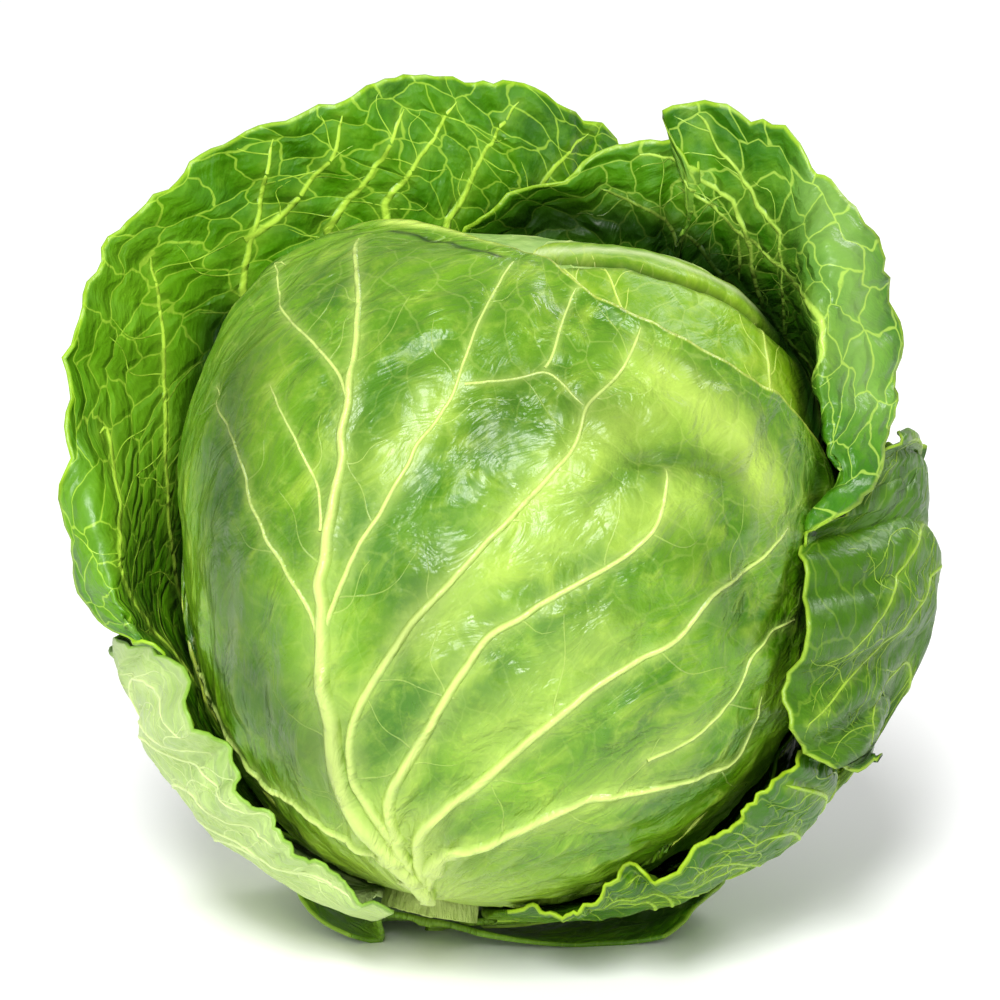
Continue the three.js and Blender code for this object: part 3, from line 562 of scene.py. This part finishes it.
def grown_veins(rng, midrib):
    """A midrib and side veins that leave it, as lists of (u, v, width)."""
    t = np.linspace(0, 1, 40)
    out = [np.column_stack([midrib + 0.02 * np.sin(3 * t), t * 0.96, lerp(4.6, 1.2, t)])]
    for side in (-1, 1):
        room = midrib if side < 0 else 1 - midrib
        for k in range(SIDE_VEINS):
            share = (k + 0.5) / SIDE_VEINS
            start = 0.04 + 0.66 * share ** 1.2
            du = side * room * (0.95 - 0.72 * share) * rng.uniform(0.9, 1.05)
            end = 0.9 + 0.08 * rng.random()
            u = midrib + du * t ** rng.uniform(0.75, 1.0) + 0.012 * np.sin(7 * t + rng.uniform(0, 6))
            v = lerp(start, end, t) + 0.012 * np.sin(9 * t + rng.uniform(0, 6))
            out.append(np.column_stack([u, v, lerp(2.6, 0.9, t) * (1 - 0.3 * share)]))
    return out


FORK = 4.0  # a vein that starts this close to another one forks from it


def led(rows, veins, midrib):
    """Leads the veins that start off the foot down to it, but for those that fork from another."""
    out = []
    for line in veins:
        u0, v0 = line[0, :2]
        start = sheet_point(rows, line[:1, 0], line[:1, 1])
        forks = any(np.linalg.norm(sheet_point(rows, o[:, 0], o[:, 1]) - start, axis=1).min() < FORK
                    for o in veins if o is not line)
        if v0 > 0.08 and not forks:
            t = np.linspace(0, 1, 40, endpoint=False)[:, None]
            way = line[min(8, len(line) - 1), :2] - line[0, :2]
            bend = np.array([u0, v0]) - way * 0.45 * v0 / max(way[1], 0.3 * abs(way[0]), 1e-3)
            bend = np.clip(bend, [min(midrib, u0) - 0.08, 0.2 * v0], [max(midrib, u0) + 0.08, v0])
            lead = (1 - t) ** 2 * np.array([midrib, 0]) + 2 * t * (1 - t) * bend + t * t * np.array([u0, v0])
            line = np.vstack([np.column_stack([lead, lerp(line[0, 2] * 1.8, line[0, 2], t)]), line])
        out.append(line)
    return out


def branches(rows, veins, rng, spacing, length, width):
    """Small veins that leave the larger ones on both sides; spacing and length are in millimetres."""
    out = []
    high, wide = rows.shape[:2]
    across = gaps(rows, 1).mean(axis=1) * (wide - 1)
    along = gaps(rows, 0).mean(axis=0) * (high - 1)
    for line in veins:
        p = sheet_point(rows, line[:, 0], line[:, 1])
        sums = sums_of(gaps(p, 0))
        where = spacing * rng.uniform(0.6, 1.4)
        side = rng.choice([-1, 1])
        while where < sums[-1] - 2:
            u, v, w = (np.interp(where, sums, line[:, k]) for k in range(3))
            before, after = (np.array([np.interp(x, sums, line[:, k]) for k in range(2)])
                             for x in (max(where - 3, 0), min(where + 3, sums[-1])))
            scale = np.array([np.interp(v, np.linspace(0, 1, high), across),
                              np.interp(u, np.linspace(0, 1, wide), along)])
            d = unit((after - before) * scale)
            angle = side * rng.uniform(0.6, 1.25)
            turn = -side * rng.uniform(0.1, 0.7)
            size = length * rng.uniform(0.5, 1.5)
            t = np.linspace(0, 1, 14)
            heading = angle + turn * t + 0.35 * np.sin(rng.uniform(4, 8) * t + rng.uniform(0, 6))
            c, q = np.cos(heading), np.sin(heading)
            steps = np.column_stack([d[0] * c - d[1] * q, d[0] * q + d[1] * c]) * size / len(t)
            uv = np.array([u, v]) + np.cumsum(steps, axis=0) / scale
            uv = np.vstack([[u, v], uv])
            small = min(width, w * 0.7)
            out.append(np.column_stack([uv, np.linspace(small, small * 0.5, len(uv))]))
            where += spacing * rng.uniform(0.5, 1.5)
            side = -side if rng.random() < 0.8 else side
    return out


def vein_fields(rows, veins):
    """For every point: distance to the nearest vein over its half width, and the height of its rib."""
    flat = rows.reshape(-1, 3)
    ratio = np.full(len(flat), 9.0)
    rib = np.zeros(len(flat))
    for line in veins:
        p = sheet_point(rows, line[:, 0], line[:, 1])
        w = line[:, 2] / 2
        for a, b, wa, wb in zip(p, p[1:], w, w[1:]):
            ab = b - a
            size = ab @ ab
            if size < 1e-6:
                continue
            room = 9 * max(wa, wb) + math.sqrt(size)
            near = np.flatnonzero(np.abs(flat - (a + b) / 2).max(axis=1) < room)
            if not len(near):
                continue
            q = flat[near]
            t = np.clip((q - a) @ ab / size, 0, 1)
            d = np.linalg.norm(q - a - t[:, None] * ab, axis=1)
            half = wa + (wb - wa) * t
            ratio[near] = np.minimum(ratio[near], d / half)
            rib[near] = np.maximum(rib[near], half * np.exp(-((d / (half * 1.15)) ** 2)))
    return ratio.reshape(rows.shape[:-1]), rib.reshape(rows.shape[:-1])


# A vein's ridge across its width, and a plainer one for veins that are no wider than THIN_VEIN.
PROFILE = np.array([-1, -0.7, -0.35, 0, 0.35, 0.7, 1.0])
THIN_PROFILE = np.array([-1, 0, 1.0])
THIN_VEIN = 1.2
LEAST_RISE = 0.18
SUNK = 0.05  # how deep a ridge's sides lie in the leaf
RIDGE_STEP = 1.4  # along a vein


def vein_strips(face, n, veins, rise, sheet_values):
    """Veins as rounded ridges laid along a face."""
    high, wide = face.shape[:2]
    by_u = np.gradient(face, axis=1) * (wide - 1)
    by_v = np.gradient(face, axis=0) * (high - 1)
    points, faces, crossing, first = [], [], [], 0
    rest = {key: [] for key in sheet_values}
    for line in veins:
        inside = (line[:, 1] > 0.02) & (line[:, 1] < 0.99) & (line[:, 0] > 0.01) & (line[:, 0] < 0.99)
        if not inside.any():
            continue
        begin = np.argmax(inside)
        stop = begin + (np.argmin(inside[begin:]) or len(inside) - begin)
        line = line[begin:stop]
        if len(line) < 4:
            continue
        p = sheet_point(face, line[:, 0], line[:, 1])
        sums = sums_of(gaps(p, 0))
        count = max(4, int(sums[-1] / RIDGE_STEP))
        goals = np.linspace(0, sums[-1], count)
        u, v, w = (np.interp(goals, sums, line[:, k]) for k in range(3))
        w = w / 2 * np.clip((sums[-1] - goals) / (4 * w + 0.1) + 0.25, 0, 1)
        p = sheet_point(face, u, v)
        normal = unit(sheet_point(n, u, v))
        side = unit(np.cross(unit(np.gradient(p, axis=0)), normal))
        du, dv = sheet_point(by_u, u, v), sheet_point(by_v, u, v)
        uu, uv, vv, su, sv = ((a * b).sum(axis=-1) for a, b in ((du, du), (du, dv), (dv, dv), (side, du), (side, dv)))
        whole = np.maximum(uu * vv - uv * uv, 1e-3)
        x, y = (vv * su - uv * sv) / whole, (uu * sv - uv * su) / whole
        profile = PROFILE if line[:, 2].max() > THIN_VEIN else THIN_PROFILE
        for s in profile:
            at_u = np.clip(u + np.clip(s * w * x, -0.02, 0.02), 0, 1)
            at_v = np.clip(v + np.clip(s * w * y, -0.02, 0.02), 0, 1)
            up = (1 - s * s) * np.maximum(w * rise, LEAST_RISE) - SUNK
            points.append(sheet_point(face, at_u, at_v) + normal * up[:, None])
            crossing.append(np.full(count, s))
            for key, value in sheet_values.items():
                rest[key].append(sheet_point(value, at_u, at_v))
        faces.append(grid_faces(len(profile), count, first))
        first += len(profile) * count
    if not faces:
        return None
    values = {key: np.concatenate(value) for key, value in rest.items()}
    values["cross"] = np.concatenate(crossing)
    return np.concatenate(points), np.concatenate(faces), values


def mesh_object(name, points, faces, values):
    mesh = bpy.data.meshes.new(name)
    mesh.from_pydata([tuple(p) for p in to_world(points)], [], [tuple(f) for f in faces])
    for key, value in values.items():
        mesh.attributes.new(key, "FLOAT", "POINT").data.foreach_set("value", value.astype(np.float32))
    mesh.polygons.foreach_set("use_smooth", [True] * len(mesh.polygons))
    mesh.update()
    piece = bpy.data.objects.new(name, mesh)
    bpy.context.scene.collection.objects.link(piece)
    return piece


def grid_faces(high, wide, first=0, flip=False):
    j, i = np.meshgrid(np.arange(high - 1), np.arange(wide - 1), indexing="ij")
    a = (first + j * wide + i).ravel()
    ring = [a, a + 1, a + wide + 1, a + wide]
    return np.stack(ring[::-1] if flip else ring, axis=-1)


def rim_faces(high, wide):
    n = high * wide
    edge = [(0, i) for i in range(wide)] + [(j, wide - 1) for j in range(1, high)]
    edge += [(high - 1, i) for i in range(wide - 2, -1, -1)] + [(j, 0) for j in range(high - 2, 0, -1)]
    ring = np.array([j * wide + i for j, i in edge])
    after = np.roll(ring, -1)
    return np.stack([after, ring, ring + n, after + n], axis=-1)


def outward(points, faces):
    """True if the closed surface's faces point out."""
    p = points[faces]
    return np.einsum("ij,ij->i", p[:, 0], np.cross(p[:, 1], p[:, 2]) + np.cross(p[:, 2], p[:, 3])).sum() > 0


LEAF_GAP = 0.5
OUT_OF_SIGHT = 1e6
THIRD_VEINS = (6, 8, 0.45)  # distance, length and width
NO_VEIN = 9.0  # the attribute cross where no ridge is


def build_leaf(name, facts):
    """A leaf as one mesh: a blade with crinkles and folds, and its veins as ridges on it."""
    seed = facts["seed"]
    rng = np.random.default_rng(seed)
    rows = leaf_sheet(facts, *facts["size"])
    rows = wave(rows, *facts["wave"])
    rows = frill(rows, *facts["frill"], seed)
    rows = clear(rows, BLADE_AT_STEM / 2 + LEAF_GAP)
    u, v = grid(rows)
    high, wide = rows.shape[:2]
    span = gaps(rows, 1).sum(axis=1).mean()
    length = gaps(rows, 0).sum(axis=0).mean()

    seen = np.where((rows[..., 2] < facts["hidden_beyond"])[..., None], OUT_OF_SIGHT, pixels(rows))
    midrib = facts["midrib"]
    main = photo_veins(name, rows, seen) or grown_veins(rng, midrib)
    if name in VEINS and facts["leads"]:
        main = led(rows, main, midrib)
    edge_lines = []
    # Pale rims as ridges: partly the margin's own colour, partly painted light on the rim.
    for low, top, width in facts["edges"]:
        t = np.linspace(low, top, 160)
        uneven = width * (1 + 0.5 * np.sin(31 * t) * np.sin(87 * t))
        edge_lines.append(np.column_stack([t, np.full(160, 0.99), uneven]))
    second = branches(rows, main, rng, facts["spacing"], facts["reach"], facts["branch"])
    third = branches(rows, second, rng, *THIRD_VEINS) if facts["third"] else []
    ratio, rib = vein_fields(rows, main)

    relief = facts["relief"]
    bulge = relief * (1 - np.exp(-((ratio / 3.0) ** 2)))
    crinkle = noise_field(rows, facts["crinkle"], seed) * relief
    slanting = np.stack([u * span - v * length * 0.5, v * length * 0.55, 0 * u], axis=-1)
    streak = noise_field(slanting, facts["streak_size"], seed + 5, 2) * facts["streak"]
    free = smooth(v * 6) * smooth((1 - v) * 12)
    sides = smooth(np.minimum(u, 1 - u) * 20)
    change = (bulge * 0.5 + crinkle + streak) * free * sides
    for depth, half_width, *spots in FOLDS.get(name, []):
        change -= depth * beside(rows, half_width, spots, seen)
    n = normals_of(rows)
    moved = rows + n * change[..., None]
    for height, start, low, top in facts["lips"]:
        share = height * smooth((v - start) / (1 - start)) * smooth((u - low) * 15) * smooth((top - u) * 15)
        moved = moved + unit(n * 0.6 + np.array([0, -0.35, 1.0])) * share[..., None]
    for start, knots in facts["shifts"]:
        at_u = [k[0] for k in knots]
        shift = np.stack([np.interp(u, at_u, [k[1][c] for k in knots]) for c in range(3)], axis=-1)
        moved = moved + shift * smooth((v - start) / (1 - start))[..., None]
    for spot, size, shift in facts["pulls"]:
        centre = rows[nearest_spot(rows, spot, seen)]
        share = np.exp(-((np.linalg.norm(rows - centre, axis=-1) / size) ** 2)) * smooth((v - 0.4) * 3)
        moved = moved + share[..., None] * np.array(shift)

    n = normals_of(moved)
    taper = np.sqrt(np.clip(1 - ((v - 0.975) / 0.03).clip(0, 1) ** 2, 0.1, 1))
    half = lerp(BLADE_AT_STEM, BLADE, smooth(v * 3)) / 2 * taper
    bare = moved + n * half[..., None]
    ridge = np.minimum(rib * 0.6, facts["rib"]) * smooth((1 - v) * 20)
    outer = bare + n * ridge[..., None]
    inner = moved - n * (half - np.minimum(rib * 0.15, 0.2))[..., None]
    for face, top in ((outer, 0.0), (inner, 1.0)):
        floor = (0.0 if facts["lowest"] else LOWEST) + top * 2 * half
        z = face @ AXES[:, 2] + HEIGHT
        face += np.maximum(floor - z, 0)[..., None] * AXES[:, 2]

    from_foot = np.concatenate([np.zeros((1, wide)), np.cumsum(gaps(rows, 0), axis=0)])
    to_rim = from_foot[-1] - from_foot
    from_left = np.concatenate([np.zeros((high, 1)), np.cumsum(gaps(rows, 1), axis=1)], axis=1)
    to_side = np.minimum(from_left, from_left[:, -1:] - from_left)
    sheet_values = {
        "halo": np.exp(-((ratio / 2.4) ** 2)),
        "foot": from_foot,
        "rim": np.minimum(to_rim, to_side + 2),
        "side": u * span,
        "ahead": v * length,
        # Painted shade in the hollows and creases.
        "shade_and_tone": marked(PAINTED_SHADE.get(name, []), rows, seen),
        # Painted light on lit parts and highlights, together with the paler neck and waxy band.
        "light": marked(LIT_AND_PALE.get(name, []), rows, seen),
    }
    points = np.concatenate([outer.reshape(-1, 3), inner.reshape(-1, 3)])
    faces = np.concatenate([grid_faces(high, wide), grid_faces(high, wide, high * wide, True), rim_faces(high, wide)])
    if not outward(points, faces):
        faces = faces[:, ::-1]
    values = {key: np.tile(value.ravel(), 2) for key, value in sheet_values.items()}
    values["cross"] = np.full(len(points), NO_VEIN)
    values["outside"] = np.repeat([1.0, 0.0], high * wide)
    values["strength"] = np.zeros(len(points))
    for side, rise in facts["veined"]:
        face, way = (outer, n) if side == "outer" else (inner, -n)
        for lines, strength in ((main, 1.0), (second, facts["faint"]), (third, 0.5), (edge_lines, 0.85)):
            made = vein_strips(face, way, lines, rise, sheet_values)
            if made is None:
                continue
            more, more_faces, more_values = made
            faces = np.concatenate([faces, more_faces + len(points)])
            points = np.concatenate([points, more])
            more_values["outside"] = np.full(len(more), float(side == "outer"))
            more_values["strength"] = np.full(len(more), strength)
            for key, value in more_values.items():
                values[key] = np.concatenate([values[key], value])
    height = points @ AXES[:, 2] + HEIGHT
    points = points + np.maximum(-height, 0)[:, None] * AXES[:, 2]
    piece = mesh_object(name + "_fine", points, faces, values)
    finished.append(BVHTree.FromPolygons([Vector(p) for p in bare.reshape(-1, 3)], grid_faces(high, wide).tolist()))
    return piece


# Materials
def fill(n, inputs):
    """Links outputs to a node's sockets, or sets the sockets' own values."""
    for key, value in inputs.items():
        if isinstance(value, bpy.types.NodeSocket):
            n.id_data.links.new(value, n.inputs[key])
        else:
            n.inputs[key].default_value = value


def node(tree, kind, inputs=None, **props):
    n = tree.nodes.new(kind)
    for key, value in props.items():
        setattr(n, key, value)
    fill(n, inputs or {})
    return n


def math_node(tree, operation, *values):
    return node(tree, "ShaderNodeMath", dict(enumerate(values)), operation=operation).outputs[0]


def mix_colour(tree, amount, a, b):
    return node(tree, "ShaderNodeMix", {0: amount, 6: a, 7: b}, data_type="RGBA").outputs[2]


def fade(tree, value, low, high, out_low=0.0, out_high=1.0):
    return node(tree, "ShaderNodeMapRange", {
        "Value": value, "From Min": low, "From Max": high, "To Min": out_low, "To Max": out_high,
    }, interpolation_type="SMOOTHSTEP").outputs["Result"]


def srgb(r, g, b):
    def linear(c):
        c /= 255
        return c / 12.92 if c <= 0.04045 else ((c + 0.055) / 1.055) ** 2.4
    return (linear(r), linear(g), linear(b), 1.0)


# The green of the painted shade in a leaf's hollows and creases; it also darkens the stem's sides a little.
SHADE_GREEN = srgb(10, 40, 0)


def leaf_material(name, deep, mid, pale, vein, rim, net, roughness, net_size, gloss, outer_tint=None,
                  foot_pale=60.0, quilt=0.5, halo=0.4, wrinkle=0.5, low=None, inner_shade_from=45.0, shine=0.35,
                  painted=0.3, light=None):
    """A leaf's look. Its blade goes from deep over mid to pale, and to pale near the foot. The outer face has
    outer_tint, and the inner face low, a painted shade, beyond inner_shade_from. The network of small veins has a
    strength net and cells of net_size. Quilt is the height of the cells, wrinkle of the folds, and painted the folds'
    own light and shade. Marked places take light, mostly painted light, and painted shade goes towards SHADE_GREEN."""
    material = bpy.data.materials.new(name)
    material.use_nodes = True
    t = material.node_tree
    shader = t.nodes["Principled BSDF"]
    deep, mid, pale, vein, rim, light = (srgb(*c) for c in (deep, mid, pale, vein, rim, light or pale))

    def attribute(key):
        return node(t, "ShaderNodeAttribute", attribute_name=key).outputs["Fac"]

    def over(amount, paint):
        nonlocal colour
        colour = mix_colour(t, amount, colour, paint)

    where = node(t, "ShaderNodeTexCoord").outputs["Object"]
    patch = node(t, "ShaderNodeTexNoise", {"Vector": where, "Scale": 24.0, "Detail": 4.0, "Roughness": 0.6})
    colour = mix_colour(t, fade(t, patch.outputs["Fac"], 0.36, 0.66), deep, mid)
    mottle = node(t, "ShaderNodeTexNoise", {"Vector": where, "Scale": 170.0, "Detail": 4.0, "Roughness": 0.7})
    over(fade(t, mottle.outputs["Fac"], 0.42, 0.8, 0.0, 0.4), pale)
    over(fade(t, attribute("foot"), foot_pale, 8.0, 0.0, 0.8), pale)
    if outer_tint:
        over(math_node(t, "MULTIPLY", attribute("outside"), 0.5), srgb(*outer_tint))
    along = node(t, "ShaderNodeCombineXYZ", {
        "X": math_node(t, "MULTIPLY_ADD", attribute("ahead"), -0.06, math_node(t, "MULTIPLY", attribute("side"), 0.1)),
        "Y": math_node(t, "MULTIPLY", attribute("ahead"), 0.07),
    })
    folds = node(t, "ShaderNodeTexNoise", {"Vector": along.outputs[0], "Scale": 1.0, "Detail": 4.0, "Roughness": 0.55,
                                           "Distortion": 0.6})
    # Painted light and shade along the folds.
    over(fade(t, folds.outputs["Fac"], 0.5, 0.3, 0.0, painted), deep)
    over(fade(t, folds.outputs["Fac"], 0.54, 0.7, 0.0, painted), pale)
    # Painted light on lit parts and highlights, and the paler neck and waxy band.
    over(attribute("light"), light)
    over(math_node(t, "MULTIPLY", attribute("halo"), halo), vein)

    flat = node(t, "ShaderNodeCombineXYZ", {"X": attribute("side"), "Y": attribute("ahead")}).outputs[0]
    warp = node(t, "ShaderNodeTexNoise", {"Vector": flat, "Scale": 0.06, "Detail": 3.0})
    off = node(t, "ShaderNodeVectorMath", {0: warp.outputs["Color"], 1: (0.5, 0.5, 0.5)}, operation="SUBTRACT")
    bent = node(t, "ShaderNodeVectorMath", {0: off.outputs[0], 1: (14, 14, 0), 2: flat}, operation="MULTIPLY_ADD")
    cells = node(t, "ShaderNodeTexVoronoi", {"Vector": bent.outputs[0], "Scale": 1 / net_size},
                 feature="DISTANCE_TO_EDGE", voronoi_dimensions="2D")
    lines = fade(t, cells.outputs["Distance"], 0.04, 0.012)
    near_rim = fade(t, attribute("rim"), 100.0, 10.0, 0.4, 1.0)
    over(math_node(t, "MULTIPLY", math_node(t, "MULTIPLY", lines, near_rim), net), vein)
    across = math_node(t, "ABSOLUTE", attribute("cross"))
    over(math_node(t, "MULTIPLY", fade(t, across, 1.0, 0.25), attribute("strength")), vein)
    over(fade(t, attribute("rim"), 1.6, 0.3, 0.0, 0.7), rim)
    # Painted shade in the marked hollows and creases, which also darkens the stem's sides a little.
    shade_and_tone = attribute("shade_and_tone")
    # Painted shade deep in the bowl: the inner face turns to low beyond inner_shade_from from the rim, and the marked
    # painted shade stays on the inner face.
    if low:
        inside = math_node(t, "SUBTRACT", 1.0, attribute("outside"))
        inner_shade = math_node(t, "MULTIPLY", fade(t, attribute("rim"), inner_shade_from, inner_shade_from + 45.0, 0.0, 0.8), inside)
        over(inner_shade, srgb(*low))
        shade_and_tone = math_node(t, "MULTIPLY", shade_and_tone, inside)
    over(shade_and_tone, SHADE_GREEN)

    rough = fade(t, mottle.outputs["Fac"], 0.3, 0.75, roughness - 0.06, roughness + 0.1)
    height = math_node(t, "MULTIPLY", fade(t, cells.outputs["Distance"], 0.0, 0.35), 0.0011 * quilt)
    height = math_node(t, "ADD", height, math_node(t, "MULTIPLY", mottle.outputs["Fac"], 0.0005))
    height = math_node(t, "ADD", height, math_node(t, "MULTIPLY", folds.outputs["Fac"], 0.006 * wrinkle))
    bump = node(t, "ShaderNodeBump", {"Strength": 0.6, "Distance": 1.0, "Height": height})
    fill(shader, {"Base Color": colour, "Roughness": rough, "Normal": bump.outputs["Normal"], "Coat Weight": gloss,
                  "Coat Roughness": 0.28, "Specular IOR Level": shine})
    return material


MATERIALS = {
    "head_leaf_front": leaf_material(
        "head leaf", (60, 112, 2), (104, 152, 18), (160, 192, 60), (194, 216, 114), (206, 226, 84), 0.16, 0.33,
        9.0, 0.14, quilt=0.4, halo=0.36, wrinkle=0.95, shine=0.4, painted=0.42, light=(188, 216, 92)),
    "head_leaf_right": leaf_material(
        "second head leaf", (104, 152, 8), (142, 184, 24), (184, 212, 64), (196, 218, 96), (196, 220, 84), 0.2,
        0.42, 8.0, 0.06, quilt=0.3, wrinkle=0.5, light=(190, 210, 142), shine=0.25),
    "head_leaf_back": leaf_material(
        "waxy head leaf", (124, 166, 76), (164, 198, 104), (200, 222, 136), (200, 222, 126), (210, 228, 120), 0.15,
        0.42, 8.0, 0.15, quilt=0.3),
    "wrapper_left": leaf_material(
        "left wrapper", (38, 94, 0), (72, 134, 0), (122, 178, 30), (184, 224, 70), (156, 200, 30), 0.5, 0.36, 6.5,
        0.15, outer_tint=(108, 148, 58), halo=0.2, quilt=0.9, wrinkle=0.7, low=(20, 62, 0), inner_shade_from=50.0),
    "wrapper_right": leaf_material(
        "right wrapper", (44, 104, 0), (76, 138, 6), (116, 168, 30), (180, 216, 84), (164, 204, 44), 0.6, 0.36, 7.0,
        0.15, outer_tint=(124, 168, 66), halo=0.2, quilt=1.2, wrinkle=0.7, low=(20, 62, 0), inner_shade_from=24.0,
        light=(146, 186, 92)),
    "wrapper_low_left": leaf_material(
        "pale wrapper", (112, 154, 58), (154, 190, 92), (198, 220, 138), (212, 230, 156), (116, 168, 16), 0.25, 0.42,
        8.0, 0.1, outer_tint=(190, 214, 132), wrinkle=0.9),
    "wrapper_low_right": leaf_material(
        "low right wrapper", (34, 82, 0), (58, 110, 2), (98, 146, 18), (160, 198, 54), (170, 204, 40), 0.3, 0.36,
        8.0, 0.06, outer_tint=(58, 108, 4), wrinkle=0.9, quilt=0.8, shine=0.2, foot_pale=35.0),
    "wrapper_far_right": leaf_material(
        "far right wrapper", (34, 80, 0), (64, 112, 8), (102, 146, 32), (150, 184, 58), (156, 190, 54), 0.2,
        0.38, 9.0, 0.08, outer_tint=(74, 118, 12), wrinkle=1.0, quilt=0.8, shine=0.22),
    "wrapper_under": leaf_material(
        "lowest wrapper", (54, 104, 4), (84, 136, 12), (124, 168, 40), (156, 192, 64), (150, 188, 50), 0.35, 0.4, 8.0,
        0.1, outer_tint=(108, 150, 44)),
}

for name, facts in LEAVES.items():
    piece = build_leaf(name, facts)
    piece.data.materials.append(MATERIALS[name])
    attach(piece, "root")
    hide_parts(name)


def add_piece(name, points, faces, material, values):
    faces = faces if outward(points, faces) else faces[:, ::-1]
    piece = mesh_object(name + "_fine", points, faces, values)
    piece.data.materials.append(material)
    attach(piece, "root")
    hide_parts(name)


def round_surface(high, wide):
    """Angles of a closed grid: share from end to end, and turn about the axis."""
    turns = np.linspace(0, 2 * math.pi, wide, endpoint=False)
    share, turn = np.meshgrid(np.linspace(0, 1, high), turns, indexing="ij")
    j, i = np.meshgrid(np.arange(high - 1), np.arange(wide), indexing="ij")
    a, b = (j * wide + i).ravel(), (j * wide + (i + 1) % wide).ravel()
    return share, turn, np.stack([a, b, b + wide, a + wide], axis=-1)


def plain_values(along, shade_and_tone, turn):
    """The values that a leaf has, for a piece with no veins and no rim."""
    none = np.zeros(len(along))
    return {"cross": none + NO_VEIN, "halo": none, "foot": along, "rim": none + 60.0, "side": turn.ravel() * 70,
            "ahead": along, "outside": none + 1, "strength": none, "shade_and_tone": shade_and_tone, "light": none}


# The heart
share, turn, faces = round_surface(70, 96)
d = np.stack([np.sin(share * math.pi) * np.cos(turn), np.cos(share * math.pi), np.sin(share * math.pi) * np.sin(turn)],
             axis=-1)
world_d = d @ AXES
swirl = np.sin(3 * np.arctan2(world_d[..., 2], world_d[..., 0]) + 2.4 * world_d[..., 1])
heart_points = d * (heart_radius(d) - 0.6 + 0.6 * swirl)[..., None]
heart_points = heart_points + d * (noise_field(heart_points, 14, 4) * 0.5 - 0.4)[..., None]
heart_points = heart_points - d * (3.5 * smooth((d[..., 1] - 0.2) * 3))[..., None]
heart_points = heart_points.reshape(-1, 3)
add_piece("heart", heart_points, faces, MATERIALS["head_leaf_right"],
          plain_values(60 + share.ravel() * 200, np.zeros(share.size), turn))

# The stem
start, end = heart_radius(STEM_AXIS) + 1.2, np.linalg.norm(STEM_TIP)
share, turn, faces = round_surface(70, 96)
side_part = smooth((share - 0.16) / 0.06)
end_part = smooth((share - 0.7) / 0.04)
radius = (STEM_RADIUS + STEM_FLARE * share) * (1 - 0.05 * np.abs(np.sin(2.5 * turn)))
radius = radius * np.minimum(share / 0.2, 1) * np.where(share > 0.72, (1 - (share - 0.72) / 0.28), 1) ** 0.9
depth = start + (end - 2.5 - start) * np.clip((share - 0.2) / 0.52, 0, 1)
ring = STEM_FRONT * np.cos(turn)[..., None] + STEM_RIGHT * np.sin(turn)[..., None]
stem_points = STEM_AXIS * depth[..., None] + ring * radius[..., None]
rough = noise_field(stem_points * np.array([1.0, 0.35, 1.0]), 2.2, 6) * 0.5
stem_points = stem_points + ring * (rough * side_part * (1 - end_part))[..., None]
stem_points = stem_points + STEM_AXIS * ((noise_field(stem_points, 3.0, 8) * 0.8 - 0.5) * end_part)[..., None]
stem_points = stem_points.reshape(-1, 3)
stem_material = leaf_material(
    "cut stem", (156, 186, 72), (180, 206, 92), (204, 224, 126), (214, 230, 140), (214, 230, 140), 0.0, 0.5, 6.0, 0.1,
    quilt=0.1, wrinkle=0.8)
# The stem is a little darker along its sides than at its cut end.
add_piece("stem", stem_points, faces, stem_material,
          plain_values(share.ravel() * 40, (0.12 * (1 - end_part)).ravel(), turn))

# Floor, light and camera
floor_mesh = bpy.data.meshes.new("floor")
floor_mesh.from_pydata([(-4, -3, 0), (4, -3, 0), (4, 6, 0), (-4, 6, 0)], [], [(0, 1, 2, 3)])
floor = bpy.data.objects.new("floor", floor_mesh)
bpy.context.scene.collection.objects.link(floor)
floor_material = bpy.data.materials.new("floor")
floor_material.use_nodes = True
fill(floor_material.node_tree.nodes["Principled BSDF"],
     {"Base Color": (0.98, 0.98, 0.98, 1), "Roughness": 0.8, "Specular IOR Level": 0.1})
floor_mesh.materials.append(floor_material)

scene = bpy.context.scene
scene.view_settings.view_transform = "Standard"
world = bpy.data.worlds.new("studio")
scene.world = world
world.use_nodes = True
fill(world.node_tree.nodes["Background"], {"Color": (1, 1, 1, 1), "Strength": 0.45})


def area_light(name, place, target, size, power):
    data = bpy.data.lights.new(name, "AREA")
    data.shape = "RECTANGLE"
    data.size, data.size_y = size
    data.energy = power
    light = bpy.data.objects.new(name, data)
    light.location = place
    light.rotation_euler = (Vector(target) - Vector(place)).to_track_quat("-Z", "Y").to_euler()
    scene.collection.objects.link(light)


area_light("key", (-0.1, -1.15, 0.85), (0, 0, 0.1), (0.3, 0.3), 7.5)
area_light("fill", (-0.8, -0.9, 0.5), (0, 0, 0.1), (0.6, 0.6), 1.5)
area_light("back", (0.6, 0.8, 0.9), (0, 0, 0.12), (0.4, 0.4), 4)
area_light("low", (0.15, -1.1, 0.1), (0, 0, 0.05), (0.9, 0.2), 0.9)
sun = bpy.data.objects.new("sun", bpy.data.lights.new("sun", "SUN"))
sun.data.energy = 2.3
sun.data.angle = math.radians(18)
sun.rotation_euler = (math.radians(40), 0, math.radians(-8))
scene.collection.objects.link(sun)

camera = bpy.data.objects.new("camera", bpy.data.cameras.new("camera"))
camera.data.sensor_width = 36
camera.data.lens = camera.data.sensor_width * DISTANCE / (2 * PHOTO_MIDDLE * MM_PER_PIXEL)
place = to_world(np.array([0, CENTRE_UP, DISTANCE]))
target = to_world(np.array([0, CENTRE_UP, 0]))
camera.location = place
camera.rotation_euler = (Vector(place) - Vector(target)).to_track_quat("Z", "Y").to_euler()
scene.collection.objects.link(camera)
scene.camera = camera
